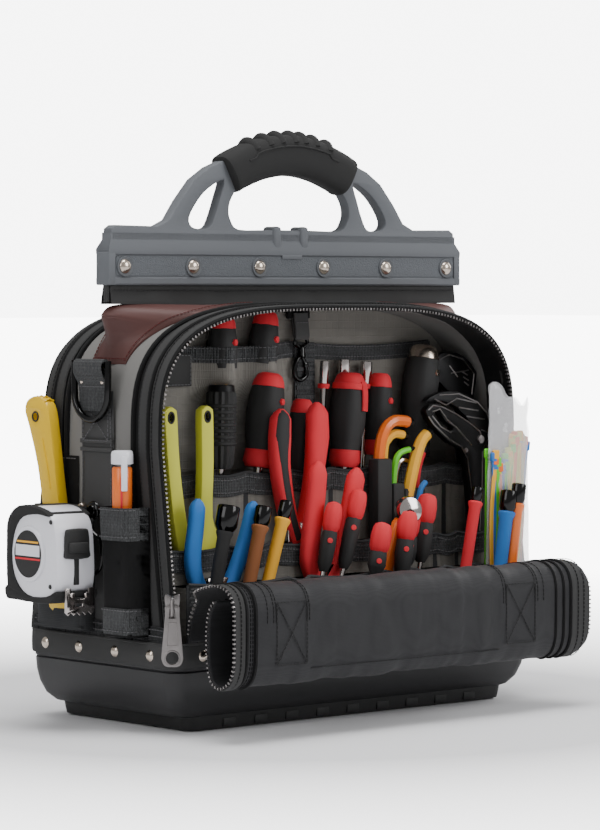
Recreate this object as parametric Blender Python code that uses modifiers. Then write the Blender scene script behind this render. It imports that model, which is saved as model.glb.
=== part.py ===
"""Electrician tool pouch: a two-sided open-top-handle tool bag with its tools, as separate solids.

The origin is at ground level under the middle of the foot. X runs along the bag, the front
opening faces -Y and Z is up. Lengths and places below are millimetres, and MM turns them into
Blender's metres when a mesh is made.
"""
import math

import bmesh
import bpy
from mathutils import Vector

MM = 0.001
GAP = 0.4                      # clearance between pieces that touch on the real bag
MERGE = 0.00001                # metres
SHARP_ANGLE = math.radians(35)
GROUP = "electrician_tool_pouch"

# Moulded base
FOOT_SIZE = (315.0, 151.0)
FOOT_HEIGHT = 8.0
FOOT_OVERLAP = 2.0             # how far the foot block reaches up into the tray before they are joined
FOOT_EDGE_R = 2.0
TRAY_SIZE = (358.0, 172.0)
TRAY_RIM_Z = 47.0
TRAY_FLOOR = 4.6
TRAY_WALL = 4.0
TRAY_CORNER_R = 14.0
TRAY_EDGE_R = 12.0
BAND_SIZE = (364.0, 177.0)
BAND_TOP_Z = 64.0
BAND_WALL = 3.2

# Arched fabric body
ARCH_HALF_WIDTH = 178.0
ARCH_SPRING_Z = 200.0
ARCH_TOP_Z = 304.0
ARCH_POWER = 3.4
ARCH_STEPS = 14
CLOTH = 3.0
BODY_FOOT_Z = BAND_TOP_Z + GAP
GUSSET_REACH = 37.0
DOOR_INSET = 1.0
DOOR_LIFT = 2.0
ZIP_EDGE_Y = 66.0
ZIP_EDGE_FOOT_Y = 83.0
PANEL_HALF = 3.0
PANEL_FOOT_Z = 14.0
PANEL_HALF_WIDTH_LOW = 170.0
PANEL_FOOT_CHAMFER = 14.0
WEB_HALF_WIDTH = 172.0
WEB_JOIN_X = 100.0
WEB_FOOT_Z = 306.0
WEB_TOP_Z = 317.6

# Handle
HANDLE_THICKNESS = 14.0
HANDLE_OUTER = ((176, 318), (173, 351), (171, 361), (128, 361), (116, 367), (107, 380), (93, 396),
                (79, 405), (66, 410), (50, 417), (32, 422.5), (0, 426))
FINGER_HOLE = ((0, 406), (22, 404), (48, 392), (57, 382), (60, 374), (57, 365), (50, 359.5))
SIDE_HOLE = ((65, 396), (80, 389), (94, 375), (98, 367), (94, 362), (84, 360), (75, 367), (70, 381))
GRIP_OUTLINE = ((0, 399), (22, 397), (48, 388.5), (68, 413), (50, 423.5), (32, 429), (0, 432))
GRIP_CORE = ((0, 405.6), (21.8, 403.6), (47.6, 391.6), (60, 377), (95, 395), (79, 405.5), (66, 410.5),
             (50, 417.5), (32, 423), (0, 426.5))
GRIP_DEPTH = 25.0
GRIP_ROUND = 7.0
RIVET_COUNT = 6
RIVET_Z = 331.5
RIVET_PITCH = 64.2
RIVET_HOLE_R = 2.8
RIVET_HEAD = ((0, 2.6), (3.4, 2.0), (5.3, 0), (2.3, 0))     # radius, height above the handle's face

# Side webbing, rings and leather
STRAP_WIDTH = 38.0
STRAP_THICKNESS = 2.4
STRAP_FOOT_Z = BODY_FOOT_Z + 1
STRAP_TOP_Z = 236.0
RING_AXIS_Z = 261.0
RING_WIRE_R = 2.6
RING_HALF_WIDTH = 19.5
RING_DROP = 40.0
TAB_OUTER_R = 4.9
TAB_INNER_R = 3.1
TAB_LENGTH = 30.0
LEATHER_STEPS = (1, 2, 3, 4)     # the points of the arch that the patch covers
LEATHER_THICKNESS = 2.0
LEATHER_HALF_DEPTH = 36.0

# Rolled front door and hinged rear door
DOOR_LEFT_X = -181.0
DOOR_RIGHT_X = 171.0
DOOR_NOTCH = (169.0, 201.0)      # the notch that clears the zips: its reach along X from the middle
DOOR_NOTCH_Y = (-112.0, -80.0)
DOOR_NOTCH_Z = (20.0, 120.0)
DOOR_SECTION = ((-88.6, 66), (-92, 84), (-102, 99), (-118, 107), (-136, 110), (-148, 106), (-153.5, 94),
                (-153.5, 55), (-149, 43), (-138, 37.5), (-126, 42), (-121, 55), (-120.5, 94), (-112, 99),
                (-102, 91), (-94, 78), (-92.6, 66))

# Zip sliders and pulls, at the foot of the teeth on a front and a rear corner
FRONT_SLIDER_X = 183.0
REAR_SLIDER_X = 185.0
SLIDER_Z = 92.0
SLIDER_STAND = 8.5
SLIDER_SIZE = (11.0, 6.0, 18.0)
CORNER_TURN = math.radians(-40)
PULL_SIZE = (15.0, 2.4, 43.0)
PULL_TOP = 1.0
PULL_TAPER = 0.6

# Pocket rows: back wall, front wall, bottom, top, cell edges along X
POCKET_WALL = 1.6
ROWS = {
    "pocket_row_back": (-7.0, -34.0, 40.0, 180.0, (-166, -112, -68, -24, 16, 58, 86, 134, 166)),
    "pocket_row_middle": (-34.4, -54.0, 40.0, 128.0, (-166, -102, -62, 10, 48, 106, 128, 166)),
    "pocket_row_front": (-54.4, -80.0, 50.0, 105.0, (-160, -66, -46, 28, 56, 92, 120, 160)),
}
KNIFE_POCKET = (-194.0, -181.3, 4.0, 61.0, 70.0, 158.0)
PEN_POCKET = (-201.0, -181.3, -59.0, -25.0, 70.0, 160.0)
RIGHT_POCKET = (181.3, 201.0, -58.0, 58.0, 70.0, 160.0)
CELL_OPENING = 9.0             # how far a cell's cutter stands above the pocket's top
ROW_FLOOR = 2.0
SIDE_FLOOR = 3.0

# Flat fittings as boxes: lower corner and upper corner
REAR_POCKET_PANEL = ((-144, 7, 66), (144, 11, 270))
WALL_POCKET = ((-144, -6.6, 182), (144, -3.4, 276))
KEY_STRAP = ((1, -10.2, 281), (13, -7.2, 299))
HOOK_EYE = (7, -9.5, 278)
HOOK_WIRE_R = 1.8
HOOK_LINE = ((0, 0, 0), (-5, 0, -6), (-5.5, 0, -22), (0, 0, -30), (6, 0, -24), (6, 0, -8))

# Tools: top of the tool, sideways lean, handle length and radius, shaft length and radius
DRIVERS = {
    "driver_knurled": ((-82, -22, 245), 0.02, 62, 11.5, 100, 3.0, "black"),
    "driver_large": ((-35, -22, 253), 0.16, 70, 14.3, 100, 3.5, "black"),
    "ratchet_driver": ((46, -22, 252), 0.09, 71, 14.3, 100, 3.5, "red"),
    "driver_silver_cap": ((124, -22, 272), 0.16, 82, 14.5, 110, 4.0, "black"),
    "nut_driver_black": ((-118, -73.2, 160), 0.22, 16, 8.1, 85, 5.0, "black"),
    "nut_driver_brown": ((-84, -72.3, 158), 0.26, 14, 6.0, 85, 5.4, "brown"),
    "nut_driver_yellow": ((-62, -72.3, 161), 0.32, 14, 6.0, 80, 5.0, "amber"),
    "insulated_driver_1": ((-15, -72.3, 158), 0.23, 52, 6.3, 45, 2.0, "red"),
    "insulated_driver_2": ((10, -72.3, 166), 0.29, 60, 6.3, 45, 2.0, "red"),
    "insulated_driver_3": ((73, -63, 150), 0.14, 44, 7.0, 45, 2.0, "red"),
}
# Gripping tools: middle plane, two handle tops, pivot, jaw tip, handle width, thickness
PLIERS = {
    "wire_stripper": (-44.0, (-151, 229), (-117, 229), (-132, 105), (-132, 60), 12, 9, "yellow"),
    "pliers_long": (-44.0, (-43, 227), (-8, 231), (-27, 120), (-27, 66), 15, 11, "red"),
    "cutters": (-60.8, (-21, 188), (18, 182), (-17, 90), (-20, 62), 14, 8, "red"),
    "pliers_blue": (-60.8, (-137, 165), (-84, 161), (-120, 84), (-120, 62), 12, 8, "blue"),
    "pliers_wrench": (-44.0, (133, 226), (160, 234), (150, 110), (150, 56), 15, 14, "black"),
}
HEX_SET = ((50, -50, 100), (100, -38, 190))
TIE_BAG = ((126, -91, 93), (172, -83, 238))
SOFT_EDGE = 2.0
TAPE_CENTRE = (-214.6, 10.0, 126.0)
TAPE_SIZE = (38.0, 62.0, 68.0)
TAPE_TURN = math.radians(-3)
TAPE_CORNER_R = 18.0
MARKER_FOOT = (-191.2, -42.0, 76.0)
MARKER_PROFILE = ((0, 124), (7, 123), (7.6, 118), (7.6, 8), (3, 1), (0, 0))
KNIFE_X = -187.6
KNIFE_THICKNESS = 8.0
KNIFE_OUTLINE = ((19, 82), (44, 82), (69.8, 218), (70, 230), (58, 236), (46, 232), (44.8, 218))

COLOURS = {
    "satin_plastic": ((0.11, 0.12, 0.13), 0.45, 0.0),
    "rubber": ((0.02, 0.02, 0.02), 0.75, 0.0),
    "steel": ((0.6, 0.58, 0.55), 0.3, 1.0),
    "black_metal": ((0.03, 0.03, 0.03), 0.3, 1.0),
    "webbing": ((0.05, 0.05, 0.05), 0.9, 0.0),
    "ripstop": ((0.18, 0.16, 0.15), 0.85, 0.0),
    "nylon": ((0.04, 0.04, 0.045), 0.55, 0.0),
    "leather": ((0.09, 0.03, 0.025), 0.6, 0.0),
    "black": ((0.02, 0.02, 0.02), 0.5, 0.0),
    "red": ((0.6, 0.02, 0.02), 0.4, 0.0),
    "yellow": ((0.6, 0.6, 0.05), 0.4, 0.0),
    "amber": ((0.8, 0.4, 0.02), 0.4, 0.0),
    "brown": ((0.25, 0.09, 0.03), 0.4, 0.0),
    "blue": ((0.02, 0.15, 0.45), 0.4, 0.0),
    "white": ((0.75, 0.75, 0.78), 0.4, 0.0),
    "clear": ((0.8, 0.8, 0.8), 0.1, 0.0),
}


def clear_scene():
    """Remove what the start-up file holds."""
    for old in list(bpy.data.objects):
        bpy.data.objects.remove(old, do_unlink=True)


def collection(name):
    """A collection of this name, linked to the scene."""
    group = bpy.data.collections.get(name)
    if group is None:
        group = bpy.data.collections.new(name)
        bpy.context.scene.collection.children.link(group)
    return group


def finish_material(key, owner):
    """A Principled material for one object."""
    colour, roughness, metallic = COLOURS[key]
    material = bpy.data.materials.new(owner)
    material.use_nodes = True
    shader = material.node_tree.nodes["Principled BSDF"]
    shader.inputs["Base Color"].default_value = (*colour, 1.0)
    shader.inputs["Roughness"].default_value = roughness
    shader.inputs["Metallic"].default_value = metallic
    return material


def add_object(name, data, finish, origin=(0, 0, 0)):
    """Put finished data in the pouch collection."""
    obj = bpy.data.objects.new(name, data)
    obj.location = Vector(origin) * MM
    data.materials.append(finish_material(finish, name))
    collection(GROUP).objects.link(obj)
    return obj


def add_mesh(name, bm, finish, origin=(0, 0, 0), recalculate=True):
    """Turn a mesh in millimetres into an object whose origin is at the given place."""
    bmesh.ops.translate(bm, verts=bm.verts, vec=-Vector(origin))
    bmesh.ops.scale(bm, verts=bm.verts, vec=(MM, MM, MM))
    if recalculate:
        bmesh.ops.recalc_face_normals(bm, faces=bm.faces)
    mesh = bpy.data.meshes.new(name)
    bm.to_mesh(mesh)
    bm.free()
    mesh.shade_smooth()
    mesh.set_sharp_from_angle(angle=SHARP_ANGLE)
    return add_object(name, mesh, finish, origin)


def box_object(name, corners, finish):
    """A plain box as an object of its own."""
    bm = bmesh.new()
    add_box(bm, *corners)
    return add_mesh(name, bm, finish)


def add_box(bm, low, high):
    """Add a box between two corners and return its vertices."""
    low = Vector(low)
    high = Vector(high)
    verts = bmesh.ops.create_cube(bm, size=1.0)["verts"]
    bmesh.ops.scale(bm, verts=verts, vec=high - low)
    bmesh.ops.translate(bm, verts=verts, vec=(high + low) / 2)
    return verts


def add_bevel(obj, width, segments=2, limit="ANGLE"):
    """Round an object's edges by a width in millimetres."""
    bevel = obj.modifiers.new("rounding", "BEVEL")
    bevel.width = width * MM
    bevel.segments = segments
    bevel.limit_method = limit


def add_solidify(obj, thickness):
    """Give an open surface its thickness, half to each side."""
    solid = obj.modifiers.new("thickness", "SOLIDIFY")
    solid.thickness = thickness * MM
    solid.offset = 0.0
    solid.use_even_offset = True


def add_boolean(obj, cutter, operation="DIFFERENCE"):
    """Cut or join with a hidden object."""
    cut = obj.modifiers.new(operation.lower(), "BOOLEAN")
    cut.operation = operation
    cut.solver = "EXACT"
    cut.object = cutter


def as_cutter(obj):
    """Hide an object that is used only to cut or join."""
    collection(GROUP).objects.unlink(obj)
    collection("cutters").objects.link(obj)
    obj.hide_render = True
    obj.display_type = "WIRE"
    return obj


def cutter_object(name, bm):
    """A hidden object made from a mesh in millimetres."""
    return as_cutter(add_mesh(name, bm, "black"))


def outline_curve(name, outlines, thickness, finish, rotation, origin):
    """A flat curve with any number of closed outlines, extruded to a thickness."""
    curve = bpy.data.curves.new(name, "CURVE")
    curve.dimensions = "2D"
    curve.fill_mode = "BOTH"
    curve.extrude = thickness * MM / 2
    for outline in outlines:
        spline = curve.splines.new("POLY")
        spline.points.add(len(outline) - 1)
        for point, (across, up) in zip(spline.points, outline):
            point.co = (across * MM, up * MM, 0.0, 1.0)
        spline.use_cyclic_u = True
    obj = add_object(name, curve, finish, origin)
    obj.rotation_euler = rotation
    return obj


def plate(name, outlines, thickness, y_middle, finish):
    """A plate standing in the XZ plane."""
    return outline_curve(name, outlines, thickness, finish, (math.pi / 2, 0, 0), (0, y_middle, 0))


def as_mesh(obj):
    """Replace a curve object by its own mesh, with the caps welded on."""
    graph = bpy.context.evaluated_depsgraph_get()
    mesh = bpy.data.meshes.new_from_object(obj.evaluated_get(graph))
    bm = bmesh.new()
    bm.from_mesh(mesh)
    bmesh.ops.remove_doubles(bm, verts=bm.verts, dist=MERGE)
    bmesh.ops.recalc_face_normals(bm, faces=bm.faces)
    bm.to_mesh(mesh)
    bm.free()
    name = obj.name
    matrix = obj.matrix_world.copy()
    group = obj.users_collection[0]
    bpy.data.objects.remove(obj, do_unlink=True)
    solid = bpy.data.objects.new(name, mesh)
    solid.matrix_world = matrix
    group.objects.link(solid)
    return solid


def mirrored(half):
    """A closed outline from its right half, which starts and ends on the middle line or not."""
    left = [(-x, z) for x, z in reversed(half) if x > 0]
    return list(half) + left


def turned(name, profile, foot, direction, finish, steps=12):
    """A turned solid: profile points are (radius, height above the foot), from the top down."""
    bm = bmesh.new()
    verts = [bm.verts.new((radius, 0, height)) for radius, height in profile]
    for upper, lower in zip(verts, verts[1:]):
        bm.edges.new((upper, lower))
    obj = add_mesh(name, bm, finish, recalculate=False)
    obj.location = Vector(foot) * MM
    obj.rotation_mode = "QUATERNION"
    obj.rotation_quaternion = Vector((0, 0, 1)).rotation_difference(Vector(direction))
    screw = obj.modifiers.new("turning", "SCREW")
    screw.axis = "Z"
    screw.steps = steps
    screw.render_steps = steps
    screw.use_merge_vertices = True
    screw.merge_threshold = MERGE
    return obj


def tube(name, points, radius, finish, origin, cyclic=False):
    """A round wire through points given from its origin."""
    curve = bpy.data.curves.new(name, "CURVE")
    curve.dimensions = "3D"
    curve.bevel_depth = radius * MM
    curve.bevel_resolution = 1
    curve.use_fill_caps = not cyclic
    spline = curve.splines.new("POLY")
    spline.points.add(len(points) - 1)
    for point, place in zip(spline.points, points):
        point.co = (*(Vector(place) * MM), 1.0)
    spline.use_cyclic_u = cyclic
    return add_object(name, curve, finish, origin)


def arch_point(angle, half_width, top_z):
    """A point of the squared arch, by its angle above the right-hand springing."""
    across = abs(math.cos(angle)) ** (2 / ARCH_POWER)
    up = abs(math.sin(angle)) ** (2 / ARCH_POWER)
    return math.copysign(across, math.cos(angle)) * half_width, ARCH_SPRING_Z + (top_z - ARCH_SPRING_Z) * up


def arch_line(half_width, top_z, foot_z, steps=ARCH_STEPS):
    """The arch from its right foot over the top to its left foot."""
    curve = [arch_point(math.pi * step / steps, half_width, top_z) for step in range(steps + 1)]
    return [(half_width, foot_z)] + curve + [(-half_width, foot_z)]


def zip_edge(z):
    """How far the zip edge stands from the middle at a height."""
    drop = max(0.0, ARCH_SPRING_Z - z) / (ARCH_SPRING_Z - BAND_TOP_Z)
    return ZIP_EDGE_Y + (ZIP_EDGE_FOOT_Y - ZIP_EDGE_Y) * drop


def band_shell(name, line, near, far, thickness, finish):
    """A strip that follows a line in XZ, between two depths that may vary with height."""
    bm = bmesh.new()
    verts = [bm.verts.new((x, near(z), z)) for x, z in line]
    edges = [bm.edges.new(pair) for pair in zip(verts, verts[1:])]
    extruded = bmesh.ops.extrude_edge_only(bm, edges=edges)["geom"]
    for vert in extruded:
        if isinstance(vert, bmesh.types.BMVert):
            vert.co.y = far(vert.co.z)
    obj = add_mesh(name, bm, finish)
    add_solidify(obj, thickness)
    return obj


def base_tray():
    """The moulded tray with its raised foot."""
    half_x = TRAY_SIZE[0] / 2
    half_y = TRAY_SIZE[1] / 2
    bm = bmesh.new()
    add_box(bm, (-half_x, -half_y, FOOT_HEIGHT), (half_x, half_y, TRAY_RIM_Z))
    round_box(bm, TRAY_CORNER_R, TRAY_EDGE_R)
    tray = add_mesh("base_tray", bm, "satin_plastic")
    foot = bmesh.new()
    add_box(foot, (-FOOT_SIZE[0] / 2, -FOOT_SIZE[1] / 2, 0),
            (FOOT_SIZE[0] / 2, FOOT_SIZE[1] / 2, FOOT_HEIGHT + FOOT_OVERLAP))
    round_box(foot, TRAY_CORNER_R - TRAY_WALL, FOOT_EDGE_R)
    add_boolean(tray, cutter_object("foot_block", foot), "UNION")
    hollow = bmesh.new()
    add_box(hollow, (TRAY_WALL - half_x, TRAY_WALL - half_y, FOOT_HEIGHT + TRAY_FLOOR),
            (half_x - TRAY_WALL, half_y - TRAY_WALL, TRAY_RIM_Z + TRAY_EDGE_R))
    round_box(hollow, TRAY_CORNER_R - TRAY_WALL, TRAY_EDGE_R - TRAY_WALL)
    add_boolean(tray, cutter_object("tray_hollow", hollow))


def round_box(bm, corner_radius, edge_radius):
    """Round a box's upright corners and its lower rim."""
    uprights = [edge for edge in bm.edges if abs(edge.verts[0].co.z - edge.verts[1].co.z) > 1]
    bmesh.ops.bevel(bm, geom=uprights, offset=corner_radius, segments=5, profile=0.5, affect="EDGES")
    low_z = min(vert.co.z for vert in bm.verts)
    rim = [edge for edge in bm.edges if all(abs(vert.co.z - low_z) < 0.01 for vert in edge.verts)]
    bmesh.ops.bevel(bm, geom=rim, offset=edge_radius, segments=3, profile=0.5, affect="EDGES")


def rounded_rectangle(size_x, size_y, radius, steps=4):
    """Points of a rounded rectangle, anticlockwise."""
    points = []
    for corner, (side_x, side_y) in enumerate(((1, 1), (-1, 1), (-1, -1), (1, -1))):
        for step in range(steps + 1):
            angle = math.pi / 2 * (corner + step / steps)
            points.append((side_x * (size_x / 2 - radius) + radius * math.cos(angle),
                           side_y * (size_y / 2 - radius) + radius * math.sin(angle)))
    return points


def base_band():
    """The riveted band that closes the body on to the tray."""
    outer = rounded_rectangle(BAND_SIZE[0], BAND_SIZE[1], TRAY_CORNER_R + 2)
    inner = rounded_rectangle(BAND_SIZE[0] - 2 * BAND_WALL, BAND_SIZE[1] - 2 * BAND_WALL, TRAY_CORNER_R)
    height = BAND_TOP_Z - TRAY_RIM_Z - GAP
    middle = BAND_TOP_Z - height / 2
    outline_curve("base_band", (outer, inner), height, "rubber", (0, 0, 0), (0, 0, middle))


def fabric_body():
    """The divider panel, both gussets, both zip bands and the pockets on the back of the panel."""
    arch = arch_line(ARCH_HALF_WIDTH - 0.5, ARCH_TOP_Z - 0.5, BODY_FOOT_Z)
    right = [point for point in arch if point[0] >= WEB_JOIN_X]
    half = [(0, PANEL_FOOT_Z), (PANEL_HALF_WIDTH_LOW - PANEL_FOOT_CHAMFER, PANEL_FOOT_Z),
            (PANEL_HALF_WIDTH_LOW, PANEL_FOOT_Z + PANEL_FOOT_CHAMFER), (PANEL_HALF_WIDTH_LOW, BODY_FOOT_Z)]
    half += right + [(WEB_HALF_WIDTH, WEB_FOOT_Z), (WEB_HALF_WIDTH, WEB_TOP_Z), (0, WEB_TOP_Z)]
    plate("centre_panel", (mirrored(half),), 2 * PANEL_HALF, 0, "nylon")

    line = arch_line(ARCH_HALF_WIDTH - CLOTH / 2, ARCH_TOP_Z - CLOTH / 2, BODY_FOOT_Z)
    inner = PANEL_HALF + GAP
    for side, sign in (("front", -1), ("rear", 1)):
        band_shell(side + "_gusset", line, lambda z: sign * inner, lambda z: sign * GUSSET_REACH,
                   CLOTH, "ripstop")
        band_shell(side + "_zip_band", line, lambda z: sign * (GUSSET_REACH + GAP),
                   lambda z: sign * zip_edge(z), CLOTH, "nylon")

    box_object("rear_pocket_panel", REAR_POCKET_PANEL, "ripstop")


def rear_door():
    """The closed door at the back, whose origin is on the seam that it folds down about."""
    hem_z = BODY_FOOT_Z + DOOR_LIFT
    clear = CLOTH / 2 + 2 * GAP
    bm = bmesh.new()
    line = arch_line(ARCH_HALF_WIDTH - DOOR_INSET, ARCH_TOP_Z - DOOR_INSET, hem_z)
    bmesh.ops.contextual_create(bm, geom=[bm.verts.new((x, ZIP_EDGE_Y, z)) for x, z in line])
    bmesh.ops.bisect_plane(bm, geom=list(bm.verts) + list(bm.edges) + list(bm.faces),
                           plane_co=(0, 0, ARCH_SPRING_Z), plane_no=(0, 0, 1))
    for vert in bm.verts:
        vert.co.y = zip_edge(vert.co.z) + clear
    add_solidify(add_mesh("rear_door", bm, "nylon", (0, zip_edge(hem_z) + clear, hem_z)), CLOTH)


def front_door():
    """The open door, rolled up below the opening, with a notch at each end that clears the zip."""
    door = as_mesh(outline_curve("front_door", (DOOR_SECTION,), DOOR_RIGHT_X - DOOR_LEFT_X, "nylon",
                                 (math.pi / 2, 0, math.pi / 2), ((DOOR_LEFT_X + DOOR_RIGHT_X) / 2, 0, 0)))
    bm = bmesh.new()
    for near, far in (DOOR_NOTCH, (-DOOR_NOTCH[1], -DOOR_NOTCH[0])):
        add_box(bm, (near, DOOR_NOTCH_Y[0], DOOR_NOTCH_Z[0]), (far, DOOR_NOTCH_Y[1], DOOR_NOTCH_Z[1]))
    add_boolean(door, cutter_object("door_corners", bm))


def handle():
    """The riveted handle frame, its rubber grip and its six rivets."""
    holes = [mirrored(FINGER_HOLE), list(SIDE_HOLE), [(-x, z) for x, z in SIDE_HOLE]]
    rivets = [(index - (RIVET_COUNT - 1) / 2) * RIVET_PITCH for index in range(RIVET_COUNT)]
    circle = [math.tau * step / 8 for step in range(8)]
    for middle in rivets:
        holes.append([(middle + RIVET_HOLE_R * math.cos(turn), RIVET_Z + RIVET_HOLE_R * math.sin(turn))
                      for turn in circle])
    plate("handle_frame", [mirrored(HANDLE_OUTER)] + holes, HANDLE_THICKNESS, 0, "satin_plastic")

    grip = as_mesh(plate("handle_grip", (mirrored(GRIP_OUTLINE),), GRIP_DEPTH, 0, "rubber"))
    add_bevel(grip, GRIP_ROUND, 2)
    core = as_mesh(plate("grip_core", (mirrored(GRIP_CORE),), HANDLE_THICKNESS + 2 * GAP, 0, "rubber"))
    add_boolean(grip, as_cutter(core))

    face = HANDLE_THICKNESS / 2 + GAP
    head = [(radius, face + height) for radius, height in RIVET_HEAD]
    profile = head + [(radius, -height) for radius, height in reversed(head)]
    for index, middle in enumerate(rivets):
        turned("handle_rivet_%d" % (index + 1), profile, (middle, 0, RIVET_Z), (0, -1, 0), "steel", 10)


def side_fittings(side, sign):
    """Webbing strap, ring, ring tab and leather patch of one side."""
    skin = ARCH_HALF_WIDTH + GAP
    low, high = sorted((sign * skin, sign * (skin + STRAP_THICKNESS)))
    corners = ((low, -STRAP_WIDTH / 2, STRAP_FOOT_Z), (high, STRAP_WIDTH / 2, STRAP_TOP_Z))
    box_object(side + "_strap", corners, "webbing")

    axis_x = sign * (skin + STRAP_THICKNESS + GAP + TAB_OUTER_R)
    turns = [math.pi * step / 6 for step in range(7)]
    drop = RING_DROP - RING_HALF_WIDTH
    ring = [(0, RING_HALF_WIDTH * math.cos(turn), -drop - RING_HALF_WIDTH * math.sin(turn)) for turn in turns]
    ring = [(0, RING_HALF_WIDTH, 0)] + ring + [(0, -RING_HALF_WIDTH, 0)]
    tube(side + "_dring", ring, RING_WIRE_R, "black_metal", (axis_x, 0, RING_AXIS_Z), cyclic=True)

    rim = [(TAB_OUTER_R * math.cos(math.tau * step / 10), TAB_OUTER_R * math.sin(math.tau * step / 10))
           for step in range(10)]
    bore = [(x * TAB_INNER_R / TAB_OUTER_R, y * TAB_INNER_R / TAB_OUTER_R) for x, y in rim]
    outline_curve(side + "_ring_tab", (rim, bore), TAB_LENGTH, "webbing", (math.pi / 2, 0, 0),
                  (axis_x, 0, RING_AXIS_Z))

    lift = LEATHER_THICKNESS / 2 + GAP
    angles = [math.pi * step / ARCH_STEPS for step in LEATHER_STEPS]
    line = [arch_point(angle, ARCH_HALF_WIDTH + lift, ARCH_TOP_Z + lift) for angle in angles]
    line = [(sign * x, z) for x, z in line]
    band_shell(side + "_leather", line, lambda z: -LEATHER_HALF_DEPTH, lambda z: LEATHER_HALF_DEPTH,
               LEATHER_THICKNESS, "leather")


def zip_hardware(side, sign, slider_x):
    """A zip slider at the foot of the teeth, turned across the corner, and the pull that hangs from it."""
    x = sign * slider_x
    y = sign * (zip_edge(SLIDER_Z) + SLIDER_STAND)
    half = Vector(SLIDER_SIZE) / 2
    bm = bmesh.new()
    add_box(bm, -half, half)
    slider = add_mesh(side + "_slider", bm, "steel")
    slider.location = Vector((x, y, SLIDER_Z)) * MM
    slider.rotation_euler = (0, 0, CORNER_TURN)
    add_bevel(slider, 1.0, 1)

    outward = sign * (SLIDER_SIZE[1] / 2 + PULL_SIZE[1] / 2 + GAP)
    bm = bmesh.new()
    verts = add_box(bm, (-PULL_SIZE[0] / 2, -PULL_SIZE[1] / 2, PULL_TOP - PULL_SIZE[2]),
                    (PULL_SIZE[0] / 2, PULL_SIZE[1] / 2, PULL_TOP))
    for vert in verts:
        if vert.co.z > 0:
            vert.co.x *= PULL_TAPER
    pull = add_mesh(side + "_pull", bm, "steel")
    pull.location = Vector((x - math.sin(CORNER_TURN) * outward, y + math.cos(CORNER_TURN) * outward,
                            SLIDER_Z)) * MM
    pull.rotation_euler = (0, 0, CORNER_TURN)


def pocket(name, low, high, cells, finish="ripstop"):
    """An open-topped pocket block with one cell for each pair of edges along its longer side."""
    bm = bmesh.new()
    add_box(bm, low, high)
    block = add_mesh(name, bm, finish)
    bm = bmesh.new()
    for cell_low, cell_high in cells:
        add_box(bm, cell_low, cell_high)
    add_boolean(block, cutter_object(name + "_cells", bm))


def pocket_row(name, back_y, front_y, foot_z, top_z, edges):
    """One row of tool pockets across the front compartment."""
    cells = []
    for left, right in zip(edges, edges[1:]):
        cells.append(((left + POCKET_WALL / 2, front_y + POCKET_WALL, foot_z + ROW_FLOOR),
                      (right - POCKET_WALL / 2, back_y - POCKET_WALL, top_z + CELL_OPENING)))
    pocket(name, (edges[0] - 1, front_y, foot_z), (edges[-1] + 1, back_y, top_z), cells)


def side_pocket(name, low_x, high_x, low_y, high_y, foot_z, top_z):
    """A single open-topped pocket on the side of the bag."""
    cell = ((low_x + POCKET_WALL, low_y + POCKET_WALL, foot_z + SIDE_FLOOR),
            (high_x - POCKET_WALL, high_y - POCKET_WALL, top_z + CELL_OPENING))
    pocket(name, (low_x, low_y, foot_z), (high_x, high_y, top_z), (cell,))


def inside_fittings():
    """Flat wall pocket, key strap and the hook that swings on it."""
    box_object("wall_pocket", WALL_POCKET, "ripstop")
    box_object("key_strap", KEY_STRAP, "webbing")
    tube("key_hook", HOOK_LINE, HOOK_WIRE_R, "black_metal", HOOK_EYE, cyclic=True)


def driver(name, top, lean, handle_length, handle_radius, shaft_length, shaft_radius, finish):
    """A screwdriver or nut driver standing handle up."""
    direction = Vector((lean, 0, 1)).normalized()
    length = handle_length + shaft_length
    foot = Vector(top) - direction * length
    neck = length - handle_length
    profile = [(0, length), (handle_radius * 0.7, length - 1.5), (handle_radius, length - handle_radius * 0.6),
               (handle_radius * 0.9, neck + 8), (handle_radius * 0.7, neck), (shaft_radius, neck),
               (shaft_radius, 1), (0, 0)]
    turned(name, profile, foot, direction, finish)


def gripping_tool(name, y, left, right, pivot, tip, width, thickness, finish):
    """A closed pair of pliers: two handles that meet at the pivot and a jaw below it."""
    half = width / 2
    outline = [(left[0] - half, left[1] - 3), (left[0], left[1]), (left[0] + half, left[1] - 3),
               (pivot[0], pivot[1] + 22), (right[0] - half, right[1] - 3), (right[0], right[1]),
               (right[0] + half, right[1] - 3), (pivot[0] + half + 4, pivot[1]), (tip[0] + half * 0.7, tip[1]),
               (tip[0] - half * 0.7, tip[1]), (pivot[0] - half - 4, pivot[1])]
    plate(name, (outline,), thickness, y, finish)


def tools():
    """The tools that the pouch carries."""
    for name, values in DRIVERS.items():
        driver(name, *values)
    for name, values in PLIERS.items():
        gripping_tool(name, *values)
    add_bevel(box_object("hex_key_set", HEX_SET, "black"), SOFT_EDGE, 1)
    add_bevel(box_object("cable_tie_bag", TIE_BAG, "clear"), SOFT_EDGE, 1)

    bm = bmesh.new()
    half = Vector(TAPE_SIZE) / 2
    add_box(bm, -half, half)
    across = [edge for edge in bm.edges if abs(edge.verts[0].co.x - edge.verts[1].co.x) > 1]
    bmesh.ops.bevel(bm, geom=across, offset=TAPE_CORNER_R, segments=4, profile=0.5, affect="EDGES")
    tape = add_mesh("tape_measure", bm, "white")
    tape.location = Vector(TAPE_CENTRE) * MM
    tape.rotation_euler = (0, 0, TAPE_TURN)

    turned("marker_pen", MARKER_PROFILE, MARKER_FOOT, (0, 0, 1), "amber")
    outline_curve("utility_knife", (KNIFE_OUTLINE,), KNIFE_THICKNESS, "yellow", (math.pi / 2, 0, math.pi / 2),
                  (KNIFE_X, 0, 0))


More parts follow.
